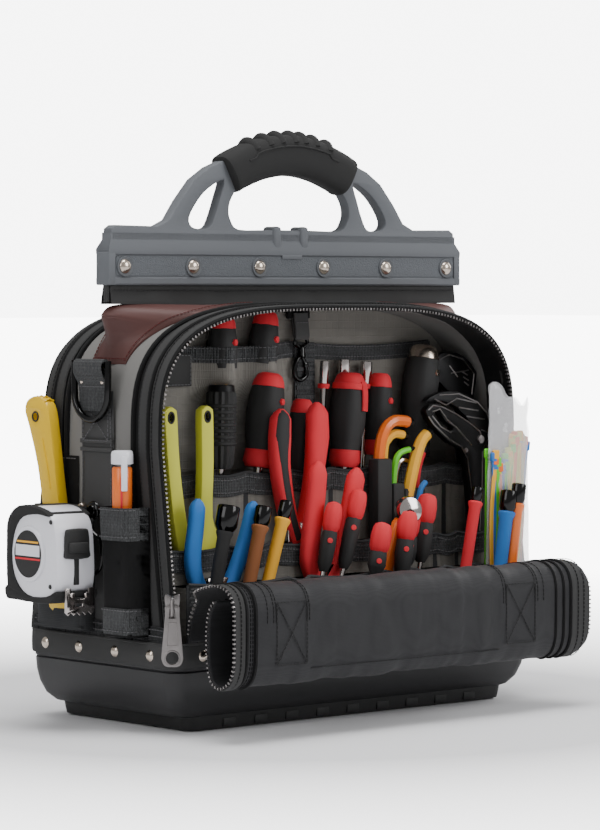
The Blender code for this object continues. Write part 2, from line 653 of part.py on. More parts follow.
def main():
    """Build the whole pouch."""
    clear_scene()
    base_tray()
    base_band()
    fabric_body()
    rear_door()
    front_door()
    handle()
    for side, sign in (("left", -1), ("right", 1)):
        side_fittings(side, sign)
    zip_hardware("front", -1, FRONT_SLIDER_X)
    zip_hardware("rear", 1, REAR_SLIDER_X)
    for name, values in ROWS.items():
        pocket_row(name, *values)
    side_pocket("left_knife_pocket", *KNIFE_POCKET)
    side_pocket("left_pen_pocket", *PEN_POCKET)
    side_pocket("right_side_pocket", *RIGHT_POCKET)
    inside_fittings()
    tools()


main()
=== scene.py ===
"""Electrician tool pouch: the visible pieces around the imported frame.

Sizes are millimetres unless a name says otherwise. X runs along the bag, the front opening
faces -Y and Z is up. A piece is built in millimetres and scaled to metres at the end.
"""
from math import asin, copysign, cos, exp, pi, radians, sin, sqrt, tau

import bmesh
import bpy
from mathutils import Matrix, Vector, noise


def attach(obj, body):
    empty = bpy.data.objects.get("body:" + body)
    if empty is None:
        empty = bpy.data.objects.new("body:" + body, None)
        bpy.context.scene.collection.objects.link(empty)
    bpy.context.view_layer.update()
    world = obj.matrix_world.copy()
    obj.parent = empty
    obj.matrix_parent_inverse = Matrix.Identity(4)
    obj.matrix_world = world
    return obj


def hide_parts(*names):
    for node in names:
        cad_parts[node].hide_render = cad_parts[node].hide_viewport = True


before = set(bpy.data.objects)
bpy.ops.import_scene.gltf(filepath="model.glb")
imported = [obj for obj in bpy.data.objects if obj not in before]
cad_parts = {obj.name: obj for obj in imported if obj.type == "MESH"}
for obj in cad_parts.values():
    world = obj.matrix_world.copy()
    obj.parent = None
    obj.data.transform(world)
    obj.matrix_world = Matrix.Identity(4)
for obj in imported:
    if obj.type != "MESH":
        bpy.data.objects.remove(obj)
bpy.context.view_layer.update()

bl_info = {"name": "Electrician Tool Pouch", "version": (1, 0, 0), "blender": (4, 5, 0), "location":
    "3D View > Sidebar > Pouch", "description":
    "Builds the cloth, hardware and tools of a two-sided tool pouch", "category": "Add Mesh",}

MM = 0.001
MERGE = 0.01
SHARP_ANGLE = radians(38)

# The arched body
HALF_WIDTH = 178.0
SPRING_Z = 200.0
TOP_Z = 304.0
FOOT_Z = 64.4
ARCH_POWER = 3.4
GUSSET_REACH = 37.0
ZIP_Y = 66.0
ZIP_FOOT_Y = 83.0


# ---- shapes


def stand(origin=(0, 0, 0), up=(0, 0, 1), turn=0.0):
    """A matrix that stands a part at a place, with its Z along up."""
    lean = xyz(0, 0, 1).rotation_difference(Vector(up).normalized()).to_matrix().to_4x4()
    return Matrix.Translation(Vector(origin)) @ lean @ Matrix.Rotation(turn, 4, "Z")


def xyz(x, y, z):
    """A place or a direction."""
    return Vector((x, y, z))


def moved(x, y, z):
    """A matrix that only moves."""
    return Matrix.Translation((x, y, z))


def spun(degrees, axis="Z"):
    """A matrix that only turns."""
    return Matrix.Rotation(radians(degrees), 4, axis)


def shift(bm, matrix):
    """Move a whole form."""
    bmesh.ops.transform(bm, matrix=matrix, verts=bm.verts)


def join(target, part, finish=0, matrix=None):
    """Add a part to a bigger form with one material number, or with its own."""
    if matrix is not None:
        shift(part, matrix)
        if matrix.determinant() < 0:
            bmesh.ops.reverse_faces(part, faces=part.faces)
    mesh = bpy.data.meshes.new("part")
    part.to_mesh(mesh)
    part.free()
    first = len(target.faces)
    target.from_mesh(mesh)
    target.faces.ensure_lookup_table()
    if finish is not None:
        for face in target.faces[first:]:
            face.material_index = finish
    bpy.data.meshes.remove(mesh)
    return target


def outward(bm):
    """Weld doubles and point every face outwards."""
    bmesh.ops.remove_doubles(bm, verts=bm.verts, dist=MERGE)
    bmesh.ops.recalc_face_normals(bm, faces=bm.faces)
    return bm


def box(low, high, rounding=0.0, segments=2):
    """A block between two corners, with rounded edges."""
    low = Vector(low)
    high = Vector(high)
    bm = bmesh.new()
    bmesh.ops.create_cube(bm, size=1.0)
    bmesh.ops.scale(bm, verts=bm.verts, vec=high - low)
    bmesh.ops.translate(bm, verts=bm.verts, vec=(high + low) / 2)
    if rounding:
        bmesh.ops.bevel(bm, geom=bm.edges, offset=rounding, segments=segments, profile=0.5, affect="EDGES",
            material=-1)
    return bm


def turned(profile, steps=20):
    """A turned form about Z from (radius, height) points."""
    bm = bmesh.new()
    verts = [bm.verts.new((radius, 0, height)) for radius, height in profile]
    edges = [bm.edges.new(pair) for pair in zip(verts, verts[1:])]
    bmesh.ops.spin(bm, geom=verts + edges, cent=(0, 0, 0), axis=(0, 0, 1), angle=tau, steps=steps,
        use_merge=True)
    return outward(bm)


def plate(outlines, thickness, rounding=0.0):
    """A flat plate in XZ from an outside outline and its holes."""
    curve = bpy.data.curves.new("outline", "CURVE")
    curve.dimensions = "2D"
    curve.fill_mode = "BOTH"
    curve.extrude = thickness / 2 - rounding
    curve.bevel_depth = rounding
    curve.bevel_resolution = 1
    curve.offset = -rounding
    for outline in outlines:
        spline = curve.splines.new("POLY")
        spline.points.add(len(outline) - 1)
        for point, (across, up) in zip(spline.points, outline):
            point.co = (across, up, 0.0, 1.0)
        spline.use_cyclic_u = True
    holder = show("outline", curve)
    graph = bpy.context.evaluated_depsgraph_get()
    mesh = bpy.data.meshes.new_from_object(holder.evaluated_get(graph))
    bpy.data.objects.remove(holder, do_unlink=True)
    bpy.data.curves.remove(curve)
    bm = bmesh.new()
    bm.from_mesh(mesh)
    bpy.data.meshes.remove(mesh)
    bmesh.ops.rotate(bm, verts=bm.verts, cent=(0, 0, 0), matrix=Matrix.Rotation(pi / 2, 3, "X"))
    return outward(bm)


def oval(x, z, wide, high, sides=20):
    """A closed oval round a place."""
    return [(x + wide * cos(a), z + high * sin(a)) for a in (tau * side / sides for side in range(sides))]


def bent(points, per_span=4, loop=False):
    """More points on a smooth curve through the given ones."""
    points = [Vector(point) for point in points]
    count = len(points)
    result = []
    for index in range(count if loop else count - 1):
        before = points[(index - 1) % count] if loop or index else points[0]
        start = points[index]
        end = points[(index + 1) % count]
        after = points[(index + 2) % count] if loop or index + 2 < count else end
        for step in range(per_span):
            t = step / per_span
            result.append(0.5 * ((2 * start) + (end - before) * t +
                (2 * before - 5 * start + 4 * end - after) * t * t + (3 * start - before - 3 * end + after)
                * t ** 3))
    return result if loop else result + [points[-1]]


def curved(outline, per_span=4):
    """A smooth closed outline through a few (across, up) points."""
    path = bent([(across, up, 0) for across, up in outline], per_span, loop=True)
    return [(point.x, point.y) for point in path]


def frames_along(points, loop=False, side=None):
    """A matrix at each point: Z follows the path and X leans towards side."""
    points = [Vector(point) for point in points]
    count = len(points)
    result = []
    across = Vector(side) if side else None
    for index, point in enumerate(points):
        ahead = points[(index + 1) % count] if loop or index + 1 < count else point
        behind = points[index - 1] if loop or index else point
        along = (ahead - behind).normalized()
        if across is None:
            across = along.orthogonal()
        guide = Vector(side) if side else across
        across = (guide - along * guide.dot(along)).normalized()
        rotation = Matrix((across, along.cross(across), along)).transposed().to_4x4()
        result.append(Matrix.Translation(point) @ rotation)
    return result


def swept(section, frames, loop=False, scales=None):
    """A closed section carried along a row of frames."""
    bm = bmesh.new()
    places = [place @ Matrix.Diagonal((*scale, 1, 1)) if scales else place for place, scale in
        zip(frames, scales or frames)]
    verts = [bm.verts.new(places[0] @ xyz(u, v, 0)) for u, v in section]
    first = [bm.edges.new(pair) for pair in zip(verts, verts[1:] + verts[:1])]
    edges = first
    for before, after in zip(places, places[1:]):
        made = bmesh.ops.extrude_edge_only(bm, edges=edges)["geom"]
        moved = {item for item in made if isinstance(item, bmesh.types.BMVert)}
        edges = [edge for edge in {edge for vert in moved for edge in vert.link_edges} if edge.verts[0] in
            moved and edge.verts[1] in moved]
        bmesh.ops.transform(bm, matrix=after @ before.inverted(), verts=list(moved))
    if loop:
        bmesh.ops.bridge_loops(bm, edges=edges + first)
    else:
        bmesh.ops.contextual_create(bm, geom=edges)
        bmesh.ops.contextual_create(bm, geom=first)
    bmesh.ops.recalc_face_normals(bm, faces=bm.faces)
    return bm


def ring_section(radius, sides=8, squash=1.0):
    """A round or oval section."""
    return [(radius * cos(tau * side / sides), radius * squash * sin(tau * side / sides)) for side in
        range(sides)]


def slab_section(width, thickness):
    """A flat section with softened corners, for webbing and trims."""
    half = width / 2
    deep = thickness / 2
    cut = deep * 0.6
    return [(half, deep - cut), (half - cut, deep), (-half + cut, deep), (-half, deep - cut),
        (-half, cut - deep), (cut - half, -deep), (half - cut, -deep), (half, cut - deep)]


def pipe(points, radius, sides=8, loop=False, squash=1.0):
    """A round wire or rod along a path."""
    return swept(ring_section(radius, sides, squash), frames_along(points, loop), loop)


def ribbon(points, width, thickness, across, loop=False):
    """A flat strip along a path, its width leaning towards across."""
    return swept(slab_section(width, thickness), frames_along(points, loop, across), loop)


def cloth(shape, across, along, thickness=1.2):
    """A sheet that follows a function of u and v from 0 to 1."""
    bm = bmesh.new()
    bmesh.ops.create_grid(bm, x_segments=across, y_segments=along, size=0.5)
    for vert in bm.verts:
        vert.co = shape(vert.co.x + 0.5, vert.co.y + 0.5)
    if thickness:
        bmesh.ops.solidify(bm, geom=list(bm.faces), thickness=thickness)
        bmesh.ops.recalc_face_normals(bm, faces=bm.faces)
    return bm


def walk(points, pitch, loop=False):
    """Places and directions at an even pitch along a path."""
    points = [Vector(point) for point in points]
    if loop:
        points = points + points[:1]
    total = sum((b - a).length for a, b in zip(points, points[1:]))
    count = max(1, round(total / pitch))
    step = total / count
    result = []
    reach = step / 2
    for start, end in zip(points, points[1:]):
        length = (end - start).length
        while reach <= length and len(result) < count and length > 0:
            result.append((start.lerp(end, reach / length), (end - start) / length))
            reach += step
        reach -= length
    return result


def blocks(points, pitch, size, face, loop=False):
    """Small blocks along a path: size is (along, across, high), face the way up."""
    bm = bmesh.new()
    for spot, (place, along) in enumerate(walk(points, pitch, loop)):
        up = Vector(face(place, spot) if callable(face) else face)
        across = up.cross(along).normalized()
        up = along.cross(across)
        rotation = Matrix((along, across, up)).transposed().to_4x4()
        bmesh.ops.create_cube(bm, size=1.0, matrix=Matrix.Translation(place) @ rotation @
            Matrix.Diagonal((*size, 1)))
    return bm


STITCH = (2.2, 0.6, 0.5)
STITCH_PITCH = 3.1


def stitches(points, face, loop=False, pitch=STITCH_PITCH, size=STITCH):
    """A run of thread stitches."""
    return blocks(points, pitch, size, face, loop)


def crossed(ends, face):
    """A stitched box with its two diagonals, through four corners."""
    bm = stitches(ends, face, loop=True)
    join(bm, stitches([ends[0], ends[2]], face))
    join(bm, stitches([ends[1], ends[3]], face))
    return bm


def cross_box(corner, right, up, face):
    """A stitched cross box from a corner and two sides."""
    corner = Vector(corner)
    right = Vector(right)
    up = Vector(up)
    return crossed([corner, corner + right, corner + right + up, corner + up], face)


def ruffle(place, size, amount):
    """A small smooth unevenness of cloth at a place."""
    return amount * noise.noise(Vector(place) / size)


def show(name, data):
    """An object for some data, in the scene."""
    obj = bpy.data.objects.new(name, data)
    bpy.context.scene.collection.objects.link(obj)
    return obj


def piece(name, bm, finishes, body="pouch", node=None, tool=None):
    """Make a form a piece that rides on a body; a tool stands for its own node."""
    if not bm.faces:
        raise RuntimeError(name + " has no faces")
    bmesh.ops.scale(bm, verts=bm.verts, vec=(MM, MM, MM))
    mesh = bpy.data.meshes.new(name)
    bm.to_mesh(mesh)
    bm.free()
    keys = finishes.split()
    for key in keys:
        mesh.materials.append(finish(key))
    mesh.polygons.foreach_set("use_smooth", [True] * len(mesh.polygons))
    mesh.set_sharp_from_angle(angle=SHARP_ANGLE)
    obj = show(name, mesh)
    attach(obj, tool or body)
    if tool or node:
        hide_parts(tool or node)
    return obj


def tooth_pitch():
    """The distance between zip teeth, in millimetres."""
    return bpy.context.scene.pouch_sizes.tooth_pitch / MM


def measured(line):
    """A line of points with its length up to each of them."""
    reach = [0.0]
    for start, end in zip(line, line[1:]):
        reach.append(reach[-1] + (end - start).length)
    return line, reach


def spot_on(line, reach, share):
    """The place and the direction of a measured line at a share of its length."""
    target = share * reach[-1]
    index = 0
    while index < len(reach) - 2 and reach[index + 1] < target:
        index += 1
    start, end = line[index], line[index + 1]
    return start.lerp(end, (target - reach[index]) / (reach[index + 1]
        - reach[index])), (end - start).normalized()


# ---- the arch of the bag


def build_arch_table(count=240):
    """Steps along the arch from the left foot to the right foot."""
    line = [Vector((-HALF_WIDTH, FOOT_Z)), Vector((-HALF_WIDTH, (FOOT_Z + SPRING_Z) / 2))]
    for step in range(count + 1):
        angle = pi * (1 - step / count)
        across = abs(cos(angle)) ** (2 / ARCH_POWER) * HALF_WIDTH
        up = abs(sin(angle)) ** (2 / ARCH_POWER) * (TOP_Z - SPRING_Z)
        line.append(Vector((copysign(across, cos(angle)), SPRING_Z + up)))
    line += [Vector((HALF_WIDTH, (FOOT_Z + SPRING_Z) / 2)), Vector((HALF_WIDTH, FOOT_Z))]
    return measured(line)


ARCH_LINE, ARCH_REACH = build_arch_table()


def arch_at(share, out=0.0):
    """A point (x, z) of the arch by its share, moved outwards."""
    point, along = spot_on(ARCH_LINE, ARCH_REACH, share)
    return point + Vector((-along.y, along.x)) * out


def zip_edge(z):
    """How far the zip edge stands from the middle at a height."""
    drop = min(1.0, max(0.0, SPRING_Z - z) / (SPRING_Z - FOOT_Z))
    return ZIP_Y + (ZIP_FOOT_Y - ZIP_Y) * drop


def arch_path(y, out, start=0.0, end=1.0, count=120):
    """Points along the arch at a depth, which may be a function of height."""
    points = []
    for step in range(count + 1):
        x, z = arch_at(start + (end - start) * step / count, out)
        points.append((x, y(z) if callable(y) else y, z))
    return points


# ---- finishes


def paint(label, about, red, green, blue):
    """A colour that a user can change, from display values out of 255."""
    linear = [(value / 255 / 12.92) if value < 11 else ((value / 255 + 0.055) / 1.055) ** 2.4 for value in
        (red, green, blue)]
    return bpy.props.FloatVectorProperty(name=label, description=about, subtype="COLOR", size=3, min=0.0,
        max=1.0, default=linear)


class PouchColours(bpy.types.PropertyGroup):
    """Colours of the pouch and its tools."""

    handle: paint("Handle", "Glass-filled plastic of the handle frame", 88, 92, 97)
    grip: paint("Grip", "Rubber of the carrying grip", 15, 15, 16)
    base: paint("Base", "Moulded base", 27, 27, 29)
    band: paint("Band", "Leatherette band above the base", 19, 19, 20)
    nylon: paint("Door nylon", "Smooth nylon of the rolled door", 42, 42, 44)
    body: paint("Body nylon", "Dark nylon of the zip bands", 10, 10, 11)
    tape: paint("Zip tape", "Mesh tape along the zips", 24, 24, 26)
    ripstop: paint("Ripstop", "Grey cloth of the gussets", 66, 62, 58)
    lining: paint("Lining", "Grey cloth of the inner wall and pockets", 124, 121, 115)
    webbing: paint("Webbing", "Charcoal straps", 42, 43, 45)
    trim: paint("Trim", "Heather binding of the pockets", 64, 65, 66)
    thread: paint("Thread", "Stitching", 88, 88, 90)
    leather: paint("Leather", "Oxblood shoulder patches", 82, 22, 20)
    nickel: paint("Nickel", "Rivets", 205, 192, 178)
    gunmetal: paint("Gunmetal", "Zip sliders and pulls", 138, 134, 133)
    steel: paint("Steel", "Tool shafts and jaws", 178, 180, 184)
    black_metal: paint("Black metal", "Rings, hook and zip teeth", 44, 45, 48)
    tool_black: paint("Tool black", "Dark plastic of the tools", 17, 17, 18)
    tool_red: paint("Tool red", "Red tool grips", 190, 4, 14)
    tool_lime: paint("Tool lime", "Stripper handles", 236, 230, 40)
    tool_blue: paint("Tool blue", "Blue grips and sleeves", 14, 104, 178)
    tool_brown: paint("Tool brown", "Brown sleeve", 120, 54, 20)
    tool_amber: paint("Tool amber", "Amber sleeve", 250, 160, 10)
    tool_orange: paint("Tool orange", "Orange sleeve and marker", 244, 78, 18)
    tool_green: paint("Tool green", "Green key and ties", 96, 204, 34)
    knife: paint("Knife yellow", "Utility knife body", 250, 200, 6)
    white: paint("Case white", "Tape measure case", 228, 230, 236)
    film: paint("Film", "Clear bag of cable ties", 196, 204, 216)


class PouchSizes(bpy.types.PropertyGroup):
    """Small sizes that a maker would change."""

    tooth_pitch: bpy.props.FloatProperty(name="Zip tooth pitch",
        description="Distance from one zip tooth to the next", default=0.0032, min=0.002, max=0.006,
        unit="LENGTH")
    rivet_radius: bpy.props.FloatProperty(name="Rivet radius", description="Radius of the handle rivets",
        default=0.0053, min=0.003, max=0.007, unit="LENGTH")
    tie_count: bpy.props.IntProperty(name="Cable ties", description="How many ties stand in the clear bag",
        default=38, min=1, max=60)


class PouchStage(bpy.types.PropertyGroup):
    """The floor, the lights and the camera."""

    lens: bpy.props.FloatProperty(name="Lens", description="Focal length of the camera in millimetres",
        default=148.33, min=20.0, max=400.0)
    floor: paint("Floor", "Pale studio floor", 236, 236, 238)
    power: bpy.props.FloatProperty(name="Light power", description="Share of the studio lights' full power",
        default=1.0, min=0.1, max=4.0, subtype="FACTOR")


def new_node(tree, kind):
    """A new shader node."""
    return tree.nodes.new("ShaderNode" + kind)


def feed(tree, socket, value):
    """Link a socket or set its value."""
    if isinstance(value, bpy.types.NodeSocket):
        tree.links.new(value, socket)
    else:
        socket.default_value = value


def combine(tree, operation, first, second=0.0, third=0.0):
    """One arithmetic node."""
    node = new_node(tree, "Math")
    node.operation = operation
    for socket, value in zip(node.inputs, (first, second, third)):
        feed(tree, socket, value)
    return node.outputs[0]


def blend_colour(tree, factor, first, second):
    """One colour mixing node."""
    node = new_node(tree, "Mix")
    node.data_type = "RGBA"
    feed(tree, node.inputs["Factor"], factor)
    feed(tree, node.inputs[6], first)
    feed(tree, node.inputs[7], second)
    return node.outputs[2]


def stretched(tree, stretch):
    """Object coordinates, scaled along each axis."""
    coordinates = new_node(tree, "TexCoord").outputs["Object"]
    mapping = new_node(tree, "Mapping")
    mapping.inputs["Scale"].default_value = stretch
    tree.links.new(coordinates, mapping.inputs["Vector"])
    return mapping.outputs[0]


def grain_noise(tree, size, detail=3.0, stretch=(1, 1, 1)):
    """Noise whose features are about a size in millimetres."""
    node = new_node(tree, "TexNoise")
    tree.links.new(stretched(tree, stretch), node.inputs["Vector"])
    node.inputs["Scale"].default_value = 1 / (size * MM)
    node.inputs["Detail"].default_value = detail
    return node.outputs[0]


def bands(tree, axis, pitch):
    """Ridges across an axis at a pitch in millimetres."""
    node = new_node(tree, "TexWave")
    node.bands_direction = axis
    tree.links.new(stretched(tree, (1, 1, 1)), node.inputs["Vector"])
    node.inputs["Scale"].default_value = tau / 20 / (pitch * MM)
    return node.outputs["Fac"]


def step_range(tree, value, low, high, out_low=0.0, out_high=1.0):
    """A smooth step between two values."""
    node = new_node(tree, "MapRange")
    feed(tree, node.inputs["Value"], value)
    for name, number in (("From Min", low), ("From Max", high), ("To Min", out_low), ("To Max", out_high)):
        node.inputs[name].default_value = number
    return node.outputs[0]


def shade(colour, factor):
    """A lighter or darker colour."""
    return (*(min(1.0, channel * factor) for channel in colour), 1.0)


def build_finish(key, colour, roughness, metallic=0.0, patch=0.12, patch_size=16.0, grain=0.3,
        grain_size=0.8, ridges=(), grid=(), fleck=0.0, fleck_size=0.9, scuff=0.0, relief=0.35, depth=0.3,
        settings=()):
    """A material with uneven colour, grain, weave, grid, flecks and scuffs, and painted shade in the low
    parts of the weave.
    """
    material = bpy.data.materials.new(key)
    material.use_nodes = True
    tree = material.node_tree
    shader = tree.nodes["Principled BSDF"]
    cloud = grain_noise(tree, patch_size, 4.0)
    tone = blend_colour(tree, step_range(tree, cloud, 0.3, 0.7), shade(colour, 1 - patch),
        shade(colour, 1 + patch))
    fine = grain_noise(tree, grain_size, 2.0)
    height = combine(tree, "MULTIPLY", fine, grain)
    for axis, pitch, weight in ridges:
        height = combine(tree, "MULTIPLY_ADD", bands(tree, axis, pitch), weight, height)
    # Painted shade: the low parts of the weave are darkened to 0.62 of the colour, as if shade lay in the
    # gaps between threads.
    if ridges:
        low = sum(weight for _, _, weight in ridges) * 0.15
        weave_gap_shade = step_range(tree, height, low, low * 4 + grain * 0.5)
        tone = blend_colour(tree, weave_gap_shade, shade(colour, 0.62), tone)
    for axis, pitch, weight in grid:
        line = step_range(tree, bands(tree, axis, pitch), 0.94, 1.0)
        height = combine(tree, "MULTIPLY_ADD", line, weight, height)
    if fleck:
        spots = step_range(tree, grain_noise(tree, fleck_size, 1.0, (1, 1, 0.35)), 0.5, 0.62, 0.0, fleck)
        tone = blend_colour(tree, spots, tone, shade(colour, 1.9))
    if scuff:
        rubs = combine(tree, "MULTIPLY", step_range(tree, grain_noise(tree, 5.0, 6.0), 0.58, 0.72),
            step_range(tree, grain_noise(tree, 30.0, 2.0), 0.45, 0.65, 0.0, scuff))
        tone = blend_colour(tree, rubs, tone, shade(colour, 1.7))
    tree.links.new(tone, shader.inputs["Base Color"])
    tree.links.new(step_range(tree, cloud, 0.25, 0.75, roughness - 0.06, roughness + 0.07),
        shader.inputs["Roughness"])
    shader.inputs["Metallic"].default_value = metallic
    for name, number in settings:
        shader.inputs[name].default_value = number
    bump = new_node(tree, "Bump")
    bump.inputs["Strength"].default_value = relief
    bump.inputs["Distance"].default_value = depth * MM
    tree.links.new(height, bump.inputs["Height"])
    tree.links.new(bump.outputs[0], shader.inputs["Normal"])
    return material


WEAVE = (("X", 1.3, 0.5), ("Y", 1.3, 0.5), ("Z", 1.3, 0.5))
FINE_WEAVE = (("X", 0.9, 0.3), ("Y", 0.9, 0.3), ("Z", 0.9, 0.3))
OPEN_MESH = (("X", 1.7, 0.8), ("Y", 1.7, 0.8), ("Z", 1.7, 0.8))
RIPSTOP_GRID = (("X", 6.0, 0.7), ("Z", 6.0, 0.7))
SOFT_SHEEN = (("Specular IOR Level", 0.2), ("Sheen Weight", 0.05), ("Sheen Roughness", 0.5))

# Finish: colour, roughness, record slot, other settings
FINISHES = {"handle_plastic": ("handle", 0.5, "handle_plastic", dict(grain_size=0.5, grain=0.4, scuff=0.25,
    patch=0.05, patch_size=40.0)), "handle_stipple": ("handle", 0.62, "handle_plastic", dict(grain_size=0.9,
    grain=1.6, relief=0.7, depth=0.5, patch=0.1, patch_size=1.5)), "grip_rubber": ("grip", 0.5,
    "grip_rubber", dict(grain_size=0.4, scuff=0.5)), "base_plastic": ("base", 0.46, "moulded_plastic",
    dict(grain_size=0.6, grain=0.7, scuff=0.5, patch_size=60.0, patch=0.08)), "foot_plastic": ("body", 0.6,
    "moulded_plastic", dict(grain_size=0.9, grain=1.0, scuff=0.6)), "leatherette": ("band", 0.5,
    "leatherette", dict(grain_size=1.1, grain=1.4, relief=0.5, depth=0.5, scuff=0.5)), "door_nylon":
    ("nylon", 0.55, "black_nylon", dict(ridges=FINE_WEAVE, relief=0.35, patch=0.1, patch_size=50.0,
    settings=SOFT_SHEEN)), "body_nylon": ("body", 0.75, "black_nylon", dict(ridges=FINE_WEAVE, scuff=0.3,
    settings=SOFT_SHEEN)), "dark_seam": ("grip", 0.85, "black_nylon",
    dict(ridges=WEAVE, settings=SOFT_SHEEN)), "zip_tape": ("tape", 0.8, "zip_tape", dict(ridges=OPEN_MESH,
    relief=0.8, depth=0.6, settings=SOFT_SHEEN)), "ripstop": ("ripstop", 0.8, "ripstop",
    dict(ridges=FINE_WEAVE, grid=RIPSTOP_GRID, relief=0.5, depth=0.4, patch=0.07, patch_size=30.0,
    settings=SOFT_SHEEN)), "lining": ("lining", 0.82, "ripstop", dict(ridges=FINE_WEAVE, grid=RIPSTOP_GRID,
    relief=0.5, depth=0.4, patch=0.08, settings=SOFT_SHEEN)), "dark_lining": ("webbing", 0.85, "ripstop",
    dict(ridges=WEAVE, relief=0.5)), "webbing": ("webbing", 0.78, "webbing", dict(ridges=(("Z", 2.4, 1.0),
    ("Y", 1.2, 0.35)), relief=0.8, depth=0.7, fleck=0.25, settings=SOFT_SHEEN)), "trim": ("trim", 0.85,
    "webbing", dict(ridges=(("X", 1.6, 0.8), ("Y", 1.6, 0.8), ("Z", 2.2, 0.5)), relief=0.8, depth=0.6,
    fleck=0.4, settings=SOFT_SHEEN)), "thread": ("thread", 0.7, "webbing", dict(grain_size=0.3)),
    "dark_thread": ("body", 0.7, "webbing", dict(grain_size=0.3)), "leather": ("leather", 0.55, "leather",
    dict(grain_size=1.0, grain=1.5, relief=0.6, depth=0.5, patch=0.35, patch_size=9.0, scuff=0.5)),
    "leather_thread": ("leather", 0.7, "leather", dict(grain_size=0.3)), "nickel": ("nickel", 0.22, "steel",
    dict(metallic=1.0, grain=0.15, grain_size=1.5, relief=0.15)), "gunmetal": ("gunmetal", 0.34, "steel",
    dict(metallic=1.0, grain=0.5, grain_size=0.7, scuff=0.5)), "steel": ("steel", 0.28, "steel",
    dict(metallic=1.0, grain=0.4, grain_size=0.6, patch=0.15)), "black_metal": ("black_metal", 0.32,
    "black_metal", dict(metallic=0.85, grain=0.3, scuff=0.6)), "zip_teeth": ("gunmetal", 0.3, "black_metal",
    dict(metallic=0.9, grain=0.2, patch=0.4, patch_size=3.0)), "phosphate": ("tool_black", 0.4, "tool_black",
    dict(metallic=0.6, grain=0.8, scuff=0.9)), "tool_black": ("tool_black", 0.5, "tool_black",
    dict(grain_size=0.5, scuff=0.35)), "tool_red": ("tool_red", 0.36, "tool_red",
    dict(grain_size=0.6, patch=0.08)), "tool_green": ("tool_green", 0.42, "tool_lime", dict(patch=0.06)),
    "knife_yellow": ("knife", 0.38, "knife_yellow", dict(patch=0.05, grain=0.5, scuff=0.25)), "tape_white":
    ("white", 0.32, "tape_white", dict(patch=0.02, grain=0.2)), "clear_film": ("film", 0.07, "clear_film",
    dict(patch=0.02, grain=1.0, grain_size=9.0, relief=0.6, depth=1.5, settings=(("Alpha", 0.06),
    ("IOR", 1.45)))),}
for plastic, unevenness in (("tool_lime", 0.06), ("tool_blue", 0.1), ("tool_brown", 0.1),
        ("tool_amber", 0.06), ("tool_orange", 0.06)):
    FINISHES[plastic] = (plastic, 0.4, plastic, dict(patch=unevenness))


def finish(key):
    """The material of a finish, made when it is first asked for."""
    material = bpy.data.materials.get(key)
    if material is None:
        colour, roughness, _, extras = FINISHES[key]
        colours = bpy.context.scene.pouch_colours
        material = build_finish(key, getattr(colours, colour), roughness, **extras)
    return material


# ---- handle

HANDLE_OUTER = ((173, 340), (171, 359), (167, 361.5), (128, 361), (117, 366), (107, 380), (93, 396),
    (79, 405), (66, 410), (50, 417), (32, 422.5), (0, 426))
FINGER_HOLE = ((0, 406), (22, 404), (48, 392), (57, 383), (60, 374), (58, 366), (50, 359.5), (20, 359.5))
SIDE_HOLE = ((65, 396), (80, 389), (90, 380), (98, 368), (96, 361.5), (88, 359.5), (79, 361), (74, 369),
    (69, 382))
RIVET_Z = 331.5
RIVET_PITCH = 64.2
BAR_SECTION = ((0, 318), (6.4, 318), (7.6, 319.2), (7.6, 323), (6.3, 324.2), (6.3, 339.6), (7.6, 340.6),
    (7.9, 344), (5.2, 351), (5.2, 356), (0, 356))
GRIP_LINE = ((-60, 399.5), (-50, 404.5), (-32, 411), (-14, 414.8), (0, 415.8), (14, 414.8), (32, 411),
    (50, 404.5), (60, 399.5))


def mirrored(half):
    """A closed outline from its right half."""
    return list(half) + [(-across, up) for across, up in reversed(half) if across > 0]


